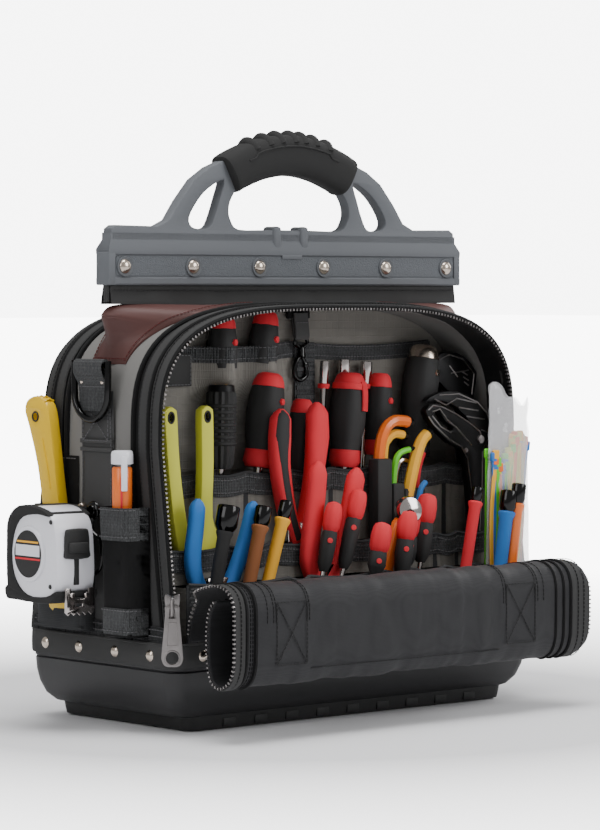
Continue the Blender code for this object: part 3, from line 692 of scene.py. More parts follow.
def build_handle():
    """The handle frame with its bar, stippled panels, ribs and rivets."""
    frame_form = bmesh.new()
    holes = [curved(mirrored(FINGER_HOLE), 3), curved(SIDE_HOLE, 3), [(-x, z) for x, z in
        curved(SIDE_HOLE, 3)]]
    join(frame_form, plate([mirrored(HANDLE_OUTER)] + holes, 10.4, 1.4))
    section = [(y, z) for y, z in BAR_SECTION] + [(-y, z) for y, z in reversed(BAR_SECTION) if y > 0]
    ends = [moved(x, 0, 0) @ Matrix(((0, 0, 1, 0), (1, 0, 0, 0), (0, 1, 0, 0), (0, 0, 0, 1))) for x in
        (-175.5, 175.5)]
    bar = swept(section, ends)
    for vert in bar.verts:
        if vert.co.z > 344:
            vert.co.x *= 172 / 175.5
    join(frame_form, bar)
    for side in (-1, 1):
        join(frame_form, box((side * 172.4 - 3.2, -7.7, 318.2), (side * 172.4 + 3.2, 7.7, 342), 0.8))
        for rib_x in (-13.5, 13.5):
            rib = box((rib_x - 4.2, 0, 344), (rib_x + 4.2, 7, 362.2), 2.6, 3)
            join(frame_form, rib, 0, Matrix.Diagonal((1, side, 1, 1)))
        join(frame_form, box((-10, min(0, side * 7.8), 337.5), (10, max(0, side * 7.8), 341), 0.5))
    stipple = bmesh.new()
    for side in (-1, 1):
        panel = plate([curved(((-168.5, 326), (-167, 324.9), (167, 324.9), (168.5, 326), (168.5, 338),
            (167, 339.1), (-167, 339.1), (-168.5, 338)), 1)], 0.8)
        join(stipple, panel, 1, moved(0, side * 6.5, 0))
        for index in range(6):
            cup = turned([(0, 0), (6.6, 0), (7.4, 0.7), (7, 1.4), (6, 0.9), (0, 0.9)], 22)
            join(stipple, cup, 0, stand(((index - 2.5) * RIVET_PITCH, side * 6.6, RIVET_Z), (0, side, 0)))
    join(frame_form, stipple, None)
    piece("handle_frame_detailed", frame_form, "handle_plastic handle_stipple", node="handle_frame")

    for index in range(6):
        rivet = bmesh.new()
        radius = bpy.context.scene.pouch_sizes.rivet_radius / MM
        dome = [(0, 3), (radius * 0.35, 2.85), (radius * 0.65, 2.3), (radius * 0.88, 1.4), (radius, 0.4),
            (radius, 0), (0, 0)]
        for side in (-1, 1):
            join(rivet, turned(dome, 24), 0, stand(((index - 2.5) * RIVET_PITCH, side * 7.2, RIVET_Z),
                (0, side, 0)))
        join(rivet, turned([(0, -7), (2.4, -7), (2.4, 7), (0, 7)], 12), 0, stand(((index - 2.5)
            * RIVET_PITCH, 0, RIVET_Z), (0, 1, 0)))
        piece("bar_rivet_%d" % (index + 1), rivet, "nickel", node="handle_rivet_%d" % (index + 1))


def build_grip():
    """The rubber grip with its finger ribs and raised borders."""
    line = bent([(x, 0, z) for x, z in GRIP_LINE], 6)
    frames = frames_along(line, side=(0, 1, 0))
    section = [(12.4 * copysign(abs(cos(a)) ** 0.62, cos(a)), 15.6 * copysign(abs(sin(a)) ** 0.72, sin(a)))
        for a in (tau * step / 40 for step in range(40))]
    scales = []
    for index in range(len(line)):
        share = abs(index / (len(line) - 1) * 2 - 1)
        close = max(0, (share - 0.93) / 0.07)
        scales.append(((1 - 0.16 * close ** 2) * (0.985 + 0.02 * share), (1 - 0.12 * close ** 2)
            * (1 - 0.03 * share)))
    grip = swept(section, frames, scales=scales)
    for index in range(7):
        share = 0.24 + index * 0.087
        middle = frames[int(share * (len(frames) - 1))]
        for up in (-16.2, 16.2):
            arc = [middle @ xyz(11.9 * cos(a), up * sin(a) ** 0.9, 0) for a in (pi
                * (0.17 + 0.66 * step / 12) for step in range(13))]
            if arc[6].z >= middle.translation.z:
                break
        join(grip, pipe(arc, 3.9, 10, squash=0.5))
    for side in (-1, 1):
        border = []
        for index in range(10, 45):
            place = frames[index * (len(frames) - 1) // 54]
            lift = 6.6 if 13 <= index <= 41 else 4
            up = place.to_3x3() @ xyz(0, 1, 0)
            sign = 1 if up.z > 0 else -1
            border.append(place @ xyz(side * 12.2, sign * lift, 0))
        join(grip, pipe(border, 0.8, 6))
    piece("carrying_grip", grip, "grip_rubber", node="handle_grip")


# ---- cloth body


PATCH_SHARES = (0.262, 0.425)      # shares of the left half of the arch between which the leather lies
RIDGE = bent([(-181.5, 0, 258), (-180, 0, 276), (-177.5, 0, 292), (-169, 0, 302.4), (-150, 0, 304.4),
    (-128, 0, 304.4), (-112, 0, 303.6), (-98, 0, 302)], 8)


def patch_point(sign, rise, edge, out=0):
    """A point of a shoulder patch, drawn up in the middle to the handle's end."""
    share = PATCH_SHARES[0] + (PATCH_SHARES[1] - PATCH_SHARES[0]) * rise
    x, z = arch_at(share, 1.5 + out + ruffle((rise * 150, edge * 35, 3), 14, 0.5))
    widen = min(1, rise * 1.7)
    half = 19.5 + 16.5 * widen * widen * (3 - 2 * widen)
    ridge = RIDGE[round(rise * (len(RIDGE) - 1))]
    tent = min(1, rise * 3) * (1 - abs(edge) ** 1.6)
    x += (ridge.x - x) * tent
    z += (ridge.z + out - z) * tent
    return xyz(-sign * x, edge * half, z)


def build_body():
    """Gussets, zip bands, leather, web strip and the inner wall."""
    for side, sign in (("front", -1), ("rear", 1)):
        def gusset_shape(u, v, sign=sign):
            swell = 1.5 * sin(pi * min(1, max(0, v))) + ruffle((u * 600, v * 40, sign * 9), 22, 0.9)
            x, z = arch_at(u, -0.9 + swell * 0.8)
            return xyz(x, sign * (0.3 + v * (GUSSET_REACH + 0.5)), z)
        piece(side + "_gusset_cloth", cloth(gusset_shape, 150, 12, 1.6), "ripstop", node=side + "_gusset")

        def band_shape(u, v, sign=sign):
            _, z = arch_at(u)
            near = GUSSET_REACH + 0.4
            y = near + (zip_edge(z) - near) * v
            roll = -0.6 - 2.2 * max(0, v - 0.6) ** 2 * 6 + ruffle((u * 700, v * 30, sign * 5), 18, 0.7)
            x, z = arch_at(u, roll)
            return xyz(x, sign * y, z)

        def rim(inset, out):
            return arch_path(lambda z: sign * (zip_edge(z) - inset), out)
        band = cloth(band_shape, 150, 10, 1.8)
        join(band, pipe(arch_path(sign * (GUSSET_REACH + 1.6), 0.5), 1.9, 8))
        join(band, ribbon(rim(16, 0.3), 11, 1, (0, 1, 0)), 1)
        join(band, ribbon(rim(5.4, -0.6), 10.5, 1.3, (0, 1, 0)), 1)
        join(band, pipe(rim(10.6, 0.4), 1.5, 7))
        for inset in (7, 20.5, 12.6):
            join(band, stitches(rim(inset, 0.65), arch_face), 2)
        join(band, pipe(rim(0.4, -1.9), 1.5, 7))
        piece(side + "_zip_surround", band, "body_nylon zip_tape dark_thread", node=side + "_zip_band")
        teeth = blocks(rim(-0.4, -3.6), tooth_pitch(), (1.3, 2.2, 1.7), arch_face)
        piece(side + "_zip_teeth", teeth, "zip_teeth")

    for side, sign in (("left", -1), ("right", 1)):
        patch = cloth(lambda u, v: patch_point(sign, u, 2 * v - 1), 44, 26, 1.7)
        for edge in (-0.93, 0.93):
            join(patch, stitches([patch_point(sign, step / 60, edge, 1.1) for step in range(61)], arch_face),
                1)
        join(patch, stitches([patch_point(sign, 0.02, edge / 10, 1.1) for edge in range(-9, 10)],
            (sign, 0, 0.1)), 1)
        piece(side + "_shoulder_patch", patch, "leather leather_thread", node=side + "_leather")

    wall = bmesh.new()
    half = [(150, FOOT_Z - 22), (165, FOOT_Z - 2)]
    line = [tuple(arch_at(0.5 + 0.5 * step / 40, -2.2)) for step in range(40, -1, -1)]
    join(wall, plate([mirrored(half + line)], 4.6, 0.6))
    piece("inner_wall", wall, "lining", node="centre_panel")

    web = bmesh.new()

    def web_shape(u, v):
        x = (u - 0.5) * 344
        lift = arch_lift(x)
        return xyz(x, 0, lift + (318.4 - lift) * v)
    for side in (-1, 1):
        def face_shape(u, v, side=side):
            point = web_shape(u, v)
            bulge = 6.2 - 2.4 * v + ruffle((point.x, v * 9, side * 5), 16, 1)
            point.y = side * bulge
            return point
        join(web, cloth(face_shape, 90, 6, 1.4))
        join(web, stitches([(x, side * 6.1, 314.5) for x in (-170, 170)], (0, side, 0)), 1)
    join(web, box((-171.5, -4.4, 311.5), (171.5, 4.4, 318.6), 1))
    for end in (-1, 1):
        join(web, pipe([(end * 171, 0, 306), (end * 171.4, 0, 318)], 4.6, 10, squash=0.6))
    piece("bar_web", web, "zip_tape dark_thread")


WEB_EASE = 118


def arch_lift(x):
    """The height of the arch top over a place across the bag."""
    share = min(1, abs(x) / HALF_WIDTH)
    top = SPRING_Z + (TOP_Z - SPRING_Z) * (1 - share ** ARCH_POWER) ** (1 / ARCH_POWER)
    if abs(x) < WEB_EASE:
        return top + 0.2
    return 305.6


def arch_face(place, _spot):
    """The way out of the arch at a place on it."""
    if place.z < SPRING_Z:
        return (copysign(1, place.x), 0, 0)
    x = copysign((abs(place.x) / HALF_WIDTH) ** (ARCH_POWER - 1) / HALF_WIDTH, place.x)
    z = max(0, (place.z - SPRING_Z) / (TOP_Z - SPRING_Z)) ** (ARCH_POWER - 1) / (TOP_Z - SPRING_Z)
    return (x, 0, z)


# ---- base


def rounded_path(half_x, half_y, radius, z, steps=8):
    """Points round a rounded rectangle."""
    points = []
    for corner, (side_x, side_y) in enumerate(((1, 1), (-1, 1), (-1, -1), (1, -1))):
        for step in range(steps + 1):
            angle = pi / 2 * (corner + step / steps)
            points.append((side_x * (half_x - radius) + radius * cos(angle), side_y * (half_y - radius) +
                radius * sin(angle), z))
    return points


def build_base():
    """The moulded tray, its foot and the riveted band."""
    tray = bmesh.new()
    levels = ((152, 70, 9, 9), (158, 74, 10, 9.4), (165, 77, 11, 11.2), (172, 80.5, 12, 17),
        (176.2, 83.6, 13, 26), (178.2, 85.4, 14, 35), (178.8, 85.8, 14, 43.5), (178, 85, 14, 44.4),
        (179, 86, 14, 45.3), (179, 86, 14, 47.6), (174.8, 81.9, 11, 47.6), (174.5, 81.5, 11, 44),
        (171, 78.6, 10, 26), (163, 72, 9, 14.6), (150, 64, 8, 13.2))
    tray_rings(tray, levels)
    foot = bmesh.new()
    tray_rings(foot, ((150, 68, 8, 0.6), (154.5, 72.5, 9, 0), (156.6, 74.6, 10, 0.9), (157.3, 75.3, 10, 5),
        (158, 76, 10, 10.5), (150, 68, 8, 10.5)))
    join(tray, foot, 1)
    for side in (-1, 1):
        for x in range(-120, 121, 30):
            join(tray, box((x - 6, side * 74 - 2.2, 1.6), (x + 6, side * 74 + 2.2, 8), 0.8), 1)
    piece("tray_and_foot", tray, "base_plastic foot_plastic", node="base_tray")

    band = bmesh.new()
    path = rounded_path(180.2, 86.7, 15, 55.7)
    join(band, ring_band(path))
    for z in (62.4, 49.2):
        line = [(x * 1.0045, y * 1.0095, z) for x, y, _ in path]
        join(band, stitches(line, lambda place, _spot: outward_flat(place), loop=True), 1)
    join(band, pipe([(x * 1.003, y * 1.006, 63.8) for x, y, _ in path], 1.1, 6, True))
    piece("base_leatherette", band, "leatherette dark_thread", node="base_band")
    rivets = bmesh.new()
    dome = [(0, 2.1), (1.9, 1.9), (3.4, 1.2), (4.3, 0.2), (4.3, -0.8), (0, -0.8)]
    spots = [(side * 181.6, y) for side in (-1, 1) for y in (-61, -21, 21, 61)]
    spots += [(x, side * 88) for side in (-1, 1) for x in (-155, -104, -52, 0, 52, 104, 155) if side > 0 or x
        != -104]
    for x, y in spots:
        face = (copysign(1, x), 0, 0) if abs(x) > 170 else (0, copysign(1, y), 0)
        join(rivets, turned(dome, 18), 0, stand((x, y, 55.4), face))
    piece("band_rivets", rivets, "nickel")


def outward_flat(place):
    """The level way out from the middle of the band."""
    if abs(place.x) / 181 > abs(place.y) / 88 + 0.04:
        return (copysign(1, place.x), 0, 0)
    if abs(place.x) / 181 < abs(place.y) / 88 - 0.04:
        return (0, copysign(1, place.y), 0)
    return (copysign(1, place.x), copysign(1, place.y), 0)


def tray_rings(bm, levels):
    """A closed shell of rings, each (half x, half y, corner, height)."""
    edges = []
    first = None
    for half_x, half_y, radius, z in levels:
        verts = [bm.verts.new(point) for point in rounded_path(half_x, half_y, radius, z)]
        ring = [bm.edges.new(pair) for pair in zip(verts, verts[1:] + verts[:1])]
        if edges:
            bmesh.ops.bridge_loops(bm, edges=edges + ring)
        first = first or ring
        edges = ring
    bmesh.ops.contextual_create(bm, geom=edges)
    bmesh.ops.contextual_create(bm, geom=first)
    bmesh.ops.recalc_face_normals(bm, faces=bm.faces)


def ring_band(path):
    """The band's wall, slightly crowned."""
    bm = bmesh.new()
    section = [(1, 8.2), (1.6, 6.5), (1.8, 0), (1.6, -6.5), (0.9, -8.2), (-1.2, -8.2), (-1.2, 8.2)]
    points = [Vector(point) for point in path]
    rings = []
    for offset, height in section:
        ring = []
        for point in points:
            centre = xyz(max(-165, min(165, point.x)), max(-71, min(71, point.y)), point.z)
            out = (point - centre).normalized()
            ring.append(bm.verts.new(point + out * offset + xyz(0, 0, height)))
        rings.append([bm.edges.new(pair) for pair in zip(ring, ring[1:] + ring[:1])])
    for before, after in zip(rings, rings[1:] + rings[:1]):
        bmesh.ops.bridge_loops(bm, edges=before + after)
    bmesh.ops.recalc_face_normals(bm, faces=bm.faces)
    return bm


# ---- doors

DOOR_LEFT = -181
DOOR_RIGHT = 171
DOOR_PATH = ((-90.6, 66), (-92.6, 82), (-100, 95.5), (-111, 103.5), (-124, 107.8), (-137, 109.2),
    (-147.5, 105), (-152.6, 95), (-153.2, 78), (-153, 64), (-152, 52), (-147.5, 43), (-138, 38.4),
    (-129.5, 42), (-125.6, 52), (-124.4, 64), (-124.6, 80), (-127.4, 92), (-133, 98.6))
DOOR_TAPER = 11                # how much narrower each side is where it leaves the body
DOOR_MIDDLE = (-137, 73.8)
END_ROUND = 8


DOOR_LINE, DOOR_REACH = measured(bent([(0, y, z) for y, z in DOOR_PATH], 8))


def door_point(x, share, out=0):
    """A point of the rolled door, by its X and its share of the section."""
    point, along = spot_on(DOOR_LINE, DOOR_REACH, min(max(share, 0), 1))
    wrinkle = ruffle((x, point.z * 0.25, share * 30), 17, 1.5) + ruffle((x, point.z * 0.15, 40), 6, 0.35)
    calm = min(1, max(0, (150 - abs(x + 5)) / 30))
    point = point + xyz(0, along.z, -along.y) * (out + wrinkle * calm)
    if x > DOOR_RIGHT - END_ROUND and share > 0.12:
        near = (x - (DOOR_RIGHT - END_ROUND)) / END_ROUND
        drop = END_ROUND * (1 - sqrt(max(0, 1 - near * near)))
        half = 35.5
        point.z = DOOR_MIDDLE[1] + (point.z - DOOR_MIDDLE[1]) * (half - drop) / half
    narrow = DOOR_TAPER * min(1, max(0, (-100 - point.y) / -10 + 1)) if share < 0.5 else 0
    return xyz(x - narrow * x / 181, point.y, point.z)


def door_strip(low_x, high_x, out, thickness):
    """A strip of tape sewn on the rolled door."""
    return cloth(lambda u, v: door_point(low_x + (high_x - low_x) * u, v, out), 2, 120, thickness)


def door_line(x, out, start=0, end=1, steps=90):
    """A row of places down the rolled door."""
    return [door_point(x, start + (end - start) * step / steps, out) for step in range(steps + 1)]


def door_face(place, _spot):
    """The way out of the roll at a place on it."""
    if place.y > -112:
        return (0, -0.6, 0.8)
    up = 0 if 48 < place.z < 92 else (place.z - DOOR_MIDDLE[1]) / 30
    return (0, (place.y - DOOR_MIDDLE[0]) / 16, up)


def build_front_door():
    """The front door, unzipped and rolled down in front of the base."""
    sheet = cloth(lambda u, v: door_point(DOOR_LEFT + (DOOR_RIGHT - DOOR_LEFT) * u, v), 150, 150, 0)
    sheet_piece = piece("rolled_door", sheet, "door_nylon", node="front_door")
    solid = sheet_piece.modifiers.new("Thickness", "SOLIDIFY")
    solid.thickness = 1.3 * MM
    solid.offset = 0

    tapes = bmesh.new()
    for low_x, high_x in ((DOOR_LEFT + 0.3, -171.5), (152, DOOR_RIGHT - 0.4)):
        join(tapes, door_strip(low_x, high_x, 1, 0.9))
    for x, radius in ((-170.6, 1.3), (-162.4, 1.6), (143, 1.3), (150.5, 1.5), (134.6, 1.2)):
        join(tapes, pipe(door_line(x, 0.9), radius, 6), 1)
    for x, out in ((-167, 0.9), (-165, 0.9), (-176, 1.6), (158, 1.6), (164, 1.6)):
        join(tapes, stitches(door_line(x, out), door_face), 1)
    trim = piece("door_tapes", tapes, "zip_tape dark_seam")

    threads = bmesh.new()
    face = (0, -1, 0)
    for low_x, high_x in ((-146, -112), (79, 115)):
        join(threads, cross_box((low_x + 3, -154.6, 53), (high_x - low_x - 6, 0, 0), (0, 0, 44), face))
        for x in (low_x, low_x + 2.4, high_x - 2.4, high_x):
            join(threads, stitches(door_line(x, 1, 0.05, 0.47), door_face))
    for x in (-151.5, 121.5):
        join(threads, stitches(door_line(x, 1, 0, 0.47), door_face))
    join(threads, stitches([(x, -152.9, 49) for x in range(-110, 80, 6)], (0, -0.9, -0.4)))
    thread = piece("door_stitching", threads, "dark_thread")

    teeth = bmesh.new()
    pitch = tooth_pitch()
    for x, start in ((DOOR_LEFT - 0.6, 0.02), (DOOR_RIGHT + 0.4, 0.02)):
        join(teeth, blocks(door_line(x, 0.2, start, 1, 260), pitch, (1.1, 1.7, 1.5), lambda place, _spot,
            x=x: (copysign(1, x), 0, 0)))
    zipper = piece("door_zip_teeth", teeth, "zip_teeth")


def build_rear_door():
    """The rear door, zipped shut, hinged at its foot."""
    def door_shape(u, v):
        x = 176.4 * sin((u - 0.5) * pi)
        share = abs(x) / (HALF_WIDTH - 0.8)
        top = SPRING_Z + (TOP_Z - 2 - SPRING_Z) * (1 - share ** ARCH_POWER) ** (1 / ARCH_POWER)
        z = 66.6 + (top - 66.6) * v
        crown = (1 - (x / 177) ** 2) * (1 - (2 * v - 1) ** 2)
        return xyz(x, zip_edge(z) + 2.6 + 4.5 * crown + ruffle((x, z, 8), 30, 1.4 * min(1, crown * 3)), z)
    panel = cloth(door_shape, 70, 46, 2.2)

    def on_door(x, v, out=1.4):
        point = door_shape(asin(max(-1, min(1, x / 176.4))) / pi + 0.5, v)
        return point + xyz(0, out, 0)
    border = arch_path(lambda z: zip_edge(z) + 3.4, -4.5)
    join(panel, ribbon(arch_path(lambda z: zip_edge(z) + 4.6, -10), 11, 1, (1, 0, 0.3)), 1)
    join(panel, pipe([(x * 0.9, y + 1.4, 66 + (z - 66) * 0.93) for x, y, z in border], 1.5, 6), 2)
    for low_x in (-140, 104):
        join(panel, cloth(lambda u, v, low_x=low_x: on_door(low_x + 36 * u, 0.03 + 0.88 * v, 1.9), 6, 50,
            1.4), 2)
        for edge in (2.5, 33.5):
            join(panel, stitches([on_door(low_x + edge, 0.04 + 0.86 * step / 40, 2.9) for step in range(41)],
                (0, 1, 0)), 3)
        for low_v in (0.1, 0.72):
            ends = [on_door(low_x + a, low_v + b, 2.9) for a, b in ((4, 0), (32, 0), (32, 0.14), (4, 0.14))]
            join(panel, crossed(ends, (0, 1, 0)), 3)
    door = piece("rear_door_panel", panel, "body_nylon zip_tape webbing thread", tool="rear_door")
    pitch = tooth_pitch()
    teeth = blocks(arch_path(lambda z: zip_edge(z) + 3.9, -4.5, 0.001, 0.999), pitch, (1.2, 1.8, 1.5),
        arch_face)
    piece("rear_door_zip_teeth", teeth, "zip_teeth", body="rear_door")
    inside = bmesh.new()
    join(inside, cloth(lambda u, v: xyz(288 * (u - 0.5), 9 + 2.5 * sin(pi * u) * sin(pi * v), 66 + 204 * v),
        40, 20, 1.6))
    join(inside, ribbon([(x, 10.6, 266) for x in range(-143, 144, 26)], 12, 2, (0, 0, 1)), 1)
    for x in (-72, 0, 72):
        join(inside, stitches([(x, 12.6, 70), (x, 12.6, 258)], (0, 1, 0)), 2)
    piece("rear_inner_pocket", inside, "dark_lining trim thread", node="rear_pocket_panel")


# ---- sides


def strap_x(z, sign):
    """Where the strap lies at a height."""
    return sign * (180.1 + 0.5 * sin(z / 17))


def build_straps():
    """Webbing straps, ring tabs, D-rings and the snap."""
    for side, sign in (("left", -1), ("right", 1)):
        strap = cloth(lambda u, v: xyz(strap_x(66 + 176 * v, sign), 37.4 * (u - 0.5), 66 + 176 * v), 10, 70,
            2.3)
        for y in (-16.6, 16.6):
            join(strap, stitches([(strap_x(z, sign * 1) + sign * 1.4, y, z) for z in range(68, 236, 6)],
                (sign, 0, 0)), 1)
        join(strap, cross_box((sign * 182.3, -14.5, 206), (0, 29, 0), (0, 0, 29), (sign, 0, 0)), 1)
        for z in (205.6, 199.6):
            join(strap, ribbon([(strap_x(z, sign) + sign * 1.6, y, z) for y in (-18.4, 0, 18.4)], 3, 1.2,
                (0, 0, 1)))
        piece(side + "_webbing_strap", strap, "webbing thread", node=side + "_strap")

        tab_line = [(181.9, 224), (182.2, 236), (182.4, 249), (182.3, 256), (182.1, 261)]
        tab_line += [(186.1 - 3.9 * cos(turn), 261 + 3.9 * sin(turn)) for turn in (pi * step / 8 for step in
            range(1, 9))]
        tab_line += [(189.8, 257), (187.6, 252.5), (185, 248), (184.2, 242), (184, 229)]
        line = bent([(sign * x, 0, z) for x, z in tab_line], 3)
        tab = cloth(lambda u, v: line[round(v * (len(line) - 1))] + xyz(0, 33 * (u - 0.5), 0), 8, len(line)
            - 1, 1.7)
        join(tab, stitches([(sign * 185.3, y, 245) for y in (-15, 15)], (sign, 0, 0)), 1)
        for y in (-12, 12):
            join(tab, turned([(0, 1.2), (1.6, 1), (2.6, 0.2), (2.6, -0.6), (0, -0.6)], 14), 2,
                stand((sign * 185.2, y, 249.5), (sign, 0, 0.25)))
        piece(side + "_tab_webbing", tab, "trim thread nickel", node=side + "_ring_tab")

        drop = 20.5
        ring = [(0, 19.5, 2.2), (0, 19.5, -6), (0, 19.3, -drop + 3)]
        ring += [(0, 19.5 * cos(turn), -drop - 19.5 * sin(turn)) for turn in (pi * step / 14 for step in
            range(1, 14))]
        ring += [(0, -19.3, -drop + 3), (0, -19.5, -6), (0, -19.5, 2.2), (0, -18, 0), (0, 0, 0), (0, 18, 0)]
        wire = pipe([(sign * 186.1 + x, y, 261 + z) for x, y, z in ring], 2.5, 12, True)
        piece(side + "_ring", wire, "black_metal", tool=side + "_dring")

        snap = bmesh.new()
        seat = stand((sign * 186.5, -3, 156), (sign, 0, 0))
        dome = [(0, 2.6), (3.2, 2.4), (5.4, 2.1), (6.4, 1.2), (6.9, 0), (0, 0)]
        join(snap, turned(dome, 26), 0, seat)
        join(snap, turned([(0, 3.3), (3.6, 3.1), (4.1, 2.3), (0, 2.3)], 22), 0,
            stand((sign * 186.3, -3, 156), (sign, 0, 0)))
        join(snap, turned([(0, -5.2), (3, -5.2), (3, 0), (0, 0)], 14), 0, seat)
        if sign < 0:
            join(snap, turned([(0, 1.4), (2.2, 1), (2.8, 0), (2.8, -3), (0, -3)], 14), 1,
                stand((-184.5, 14, 158), (-1, 0, 0)))
            piece("left_snap", snap, "black_metal nickel")


def pouch_pocket(name, node, sign, low_y, high_y, reach, foot, top, trims, cloth_key):
    """A cloth pocket on a side of the bag, with a bound mouth."""
    wall = 179.6

    def at(u, z, out=0):
        swell = 0.86 + 0.14 * (z - foot) / (top - foot)
        span = high_y - low_y
        turn = pi * (1 - u)
        y = (low_y + high_y) / 2 + span / 2 * copysign(abs(cos(turn)) ** 0.35, -cos(turn)) * -1
        depth = (reach - wall) * sin(turn) ** 0.35 * swell + ruffle((u * 60, z, low_y), 15, 0.8)
        return xyz(sign * (wall + max(0.3, depth) + out), y, z)
    form = cloth(lambda u, v: at(u, foot + (top - foot) * v), 44, 20, 1.5)
    for low_z, high_z in trims:
        join(form, cloth(lambda u, v: at(u, low_z + (high_z - low_z) * v, 1.1), 44, 4, 1.1), 1)
        for z in (low_z + 1.6, high_z - 1.6):
            join(form, stitches([at(step / 60, z, 2) for step in range(3, 58)], (sign, 0, 0)), 2)
    join(form, cloth(lambda u, v: xyz(sign * (wall + (reach - wall) * 0.85 * v), low_y + 1 +
        (high_y - low_y - 2) * u, foot + 1), 6, 3, 1.2))
    piece(name, form, cloth_key + " trim thread", node=node)


def build_side_pockets():
    """The knife, pen and wide pockets with their binding."""
    pouch_pocket("knife_pocket_cloth", "left_knife_pocket", -1, 4, 61, 194, 70, 158, ((140, 158.4),),
        "dark_lining")
    pouch_pocket("pen_pocket_cloth", "left_pen_pocket", -1, -59, -25, 200.5, 70, 160, ((138, 160.4),
        (71, 89)), "body_nylon")
    pouch_pocket("right_pocket_cloth", "right_side_pocket", 1, -58, 58, 200.5, 70, 160, ((140, 160.4),
        (71, 84)), "dark_lining")
    for side, sign in (("left", -1), ("right", 1)):
        hem = cloth(lambda u, v: xyz(sign * (179.9 + ruffle((u * 90, 3, sign), 9, 0.9)), -80 + 158 * u, 65.4
            + ruffle((u * 60, 8, 2), 14, 1.6) + 10.5 * v), 70, 4, 1.5)
        for level in (69, 73.6):
            join(hem, stitches([(sign * 181.3, y, level + ruffle(((y + 80) / 158 * 60, 8, 2), 14, 1.6)) for y
                in range(-78, 77, 4)], (sign, 0, 0)), 1)
        piece(side + "_pocket_hem", hem, "trim thread")
        guard = cloth(lambda u, v: xyz(sign * (178.6 + ruffle((u * 30, v * 60, 1), 16, 0.6)), 24 + 40 * u,
            160 + 34 * v), 10, 10, 1.2)
        join(guard, stitches([(sign * 180, 26, 192), (sign * 180, 62, 192)], (sign, 0, 0)), 1)
        piece(side + "_side_facing", guard, "body_nylon thread")


PULL_OUTLINE = ((-4.6, 1), (4.6, 1), (5.2, -6), (7.5, -32), (7.5, -37), (5.2, -41.2), (0, -42),
    (-5.2, -41.2), (-7.5, -37), (-7.5, -32), (-5.2, -6))


def build_zip_pulls():
    """The zip sliders and their long plate pulls."""
    turn = spun(-40)
    for side, sign, x in (("front", -1, -183), ("rear", 1, 185)):
        y = sign * (zip_edge(92) + 8.5)
        flip = Matrix.Diagonal((1, -sign, 1, 1)) if sign > 0 else Matrix.Identity(4)
        place = Matrix.Translation((x, y, 92)) @ turn @ flip
        slider = bmesh.new()
        shell = curved(((-3.2, -9), (3.2, -9), (4.4, -2), (5.5, 5), (4.6, 9), (0, 7.2), (-4.6, 9), (-5.5, 5),
            (-4.4, -2)), 3)
        for depth, thick in ((-2.1, 1.4), (2.1, 1.4)):
            join(slider, plate([shell], thick, 0.5), 0, moved(0, depth, 0))
        join(slider, box((-1.6, -2, 2), (1.6, 2, 7.4), 0.3))
        bridge = bent([(0, -2.6, -6.5), (0, -5.6, -5.4), (0, -6.8, 0), (0, -5.6, 5.4), (0, -2.6, 6.5)], 5)
        join(slider, pipe(bridge, 1.3, 8))
        shift(slider, place)
        piece(side + "_zip_slider", slider, "gunmetal", tool=side + "_slider")

        offset = sign * 4.6
        hang = moved(x + sin(radians(40)) * offset, y + cos(radians(40)) * offset, 92) @ turn @ flip
        pull = bmesh.new()
        window = ((-1.9, -1.2), (1.9, -1.2), (2.2, -7.6), (-2.2, -7.6))
        hole = oval(0, -35.5, 4.4, 4.4, 28)
        rim = [(5.6 * a / 4.4, -35.5 + (b + 35.5) * 5.6 / 4.4) for a, b in hole]
        outline = curved(PULL_OUTLINE, 3)
        join(pull, plate([outline, window, hole], 1.9, 0.45))
        join(pull, plate([rim, hole], 3, 0.5))
        recess = ((-3.2, -10.5), (3.2, -10.5), (4.3, -27.5), (-4.3, -27.5))
        inner = [(a * 0.8, -19 + (b + 19) * 0.9) for a, b in recess]
        join(pull, plate([recess, inner], 2.6, 0.3))
        shift(pull, hang)
        piece(side + "_zip_pull", pull, "gunmetal", tool=side + "_pull")


# ---- pockets

ROWS = (("pocket_row_back", -7, -34, 40, 180, (-166, -112, -68, -24, 16, 58, 86, 134, 166)),
    ("pocket_row_middle", -34.4, -54, 40, 128, (-166, -102, -62, 10, 48, 106, 128, 166)),
    ("pocket_row_front", -54.4, -80, 50, 105, (-160, -66, -46, 28, 56, 92, 120, 160)),)


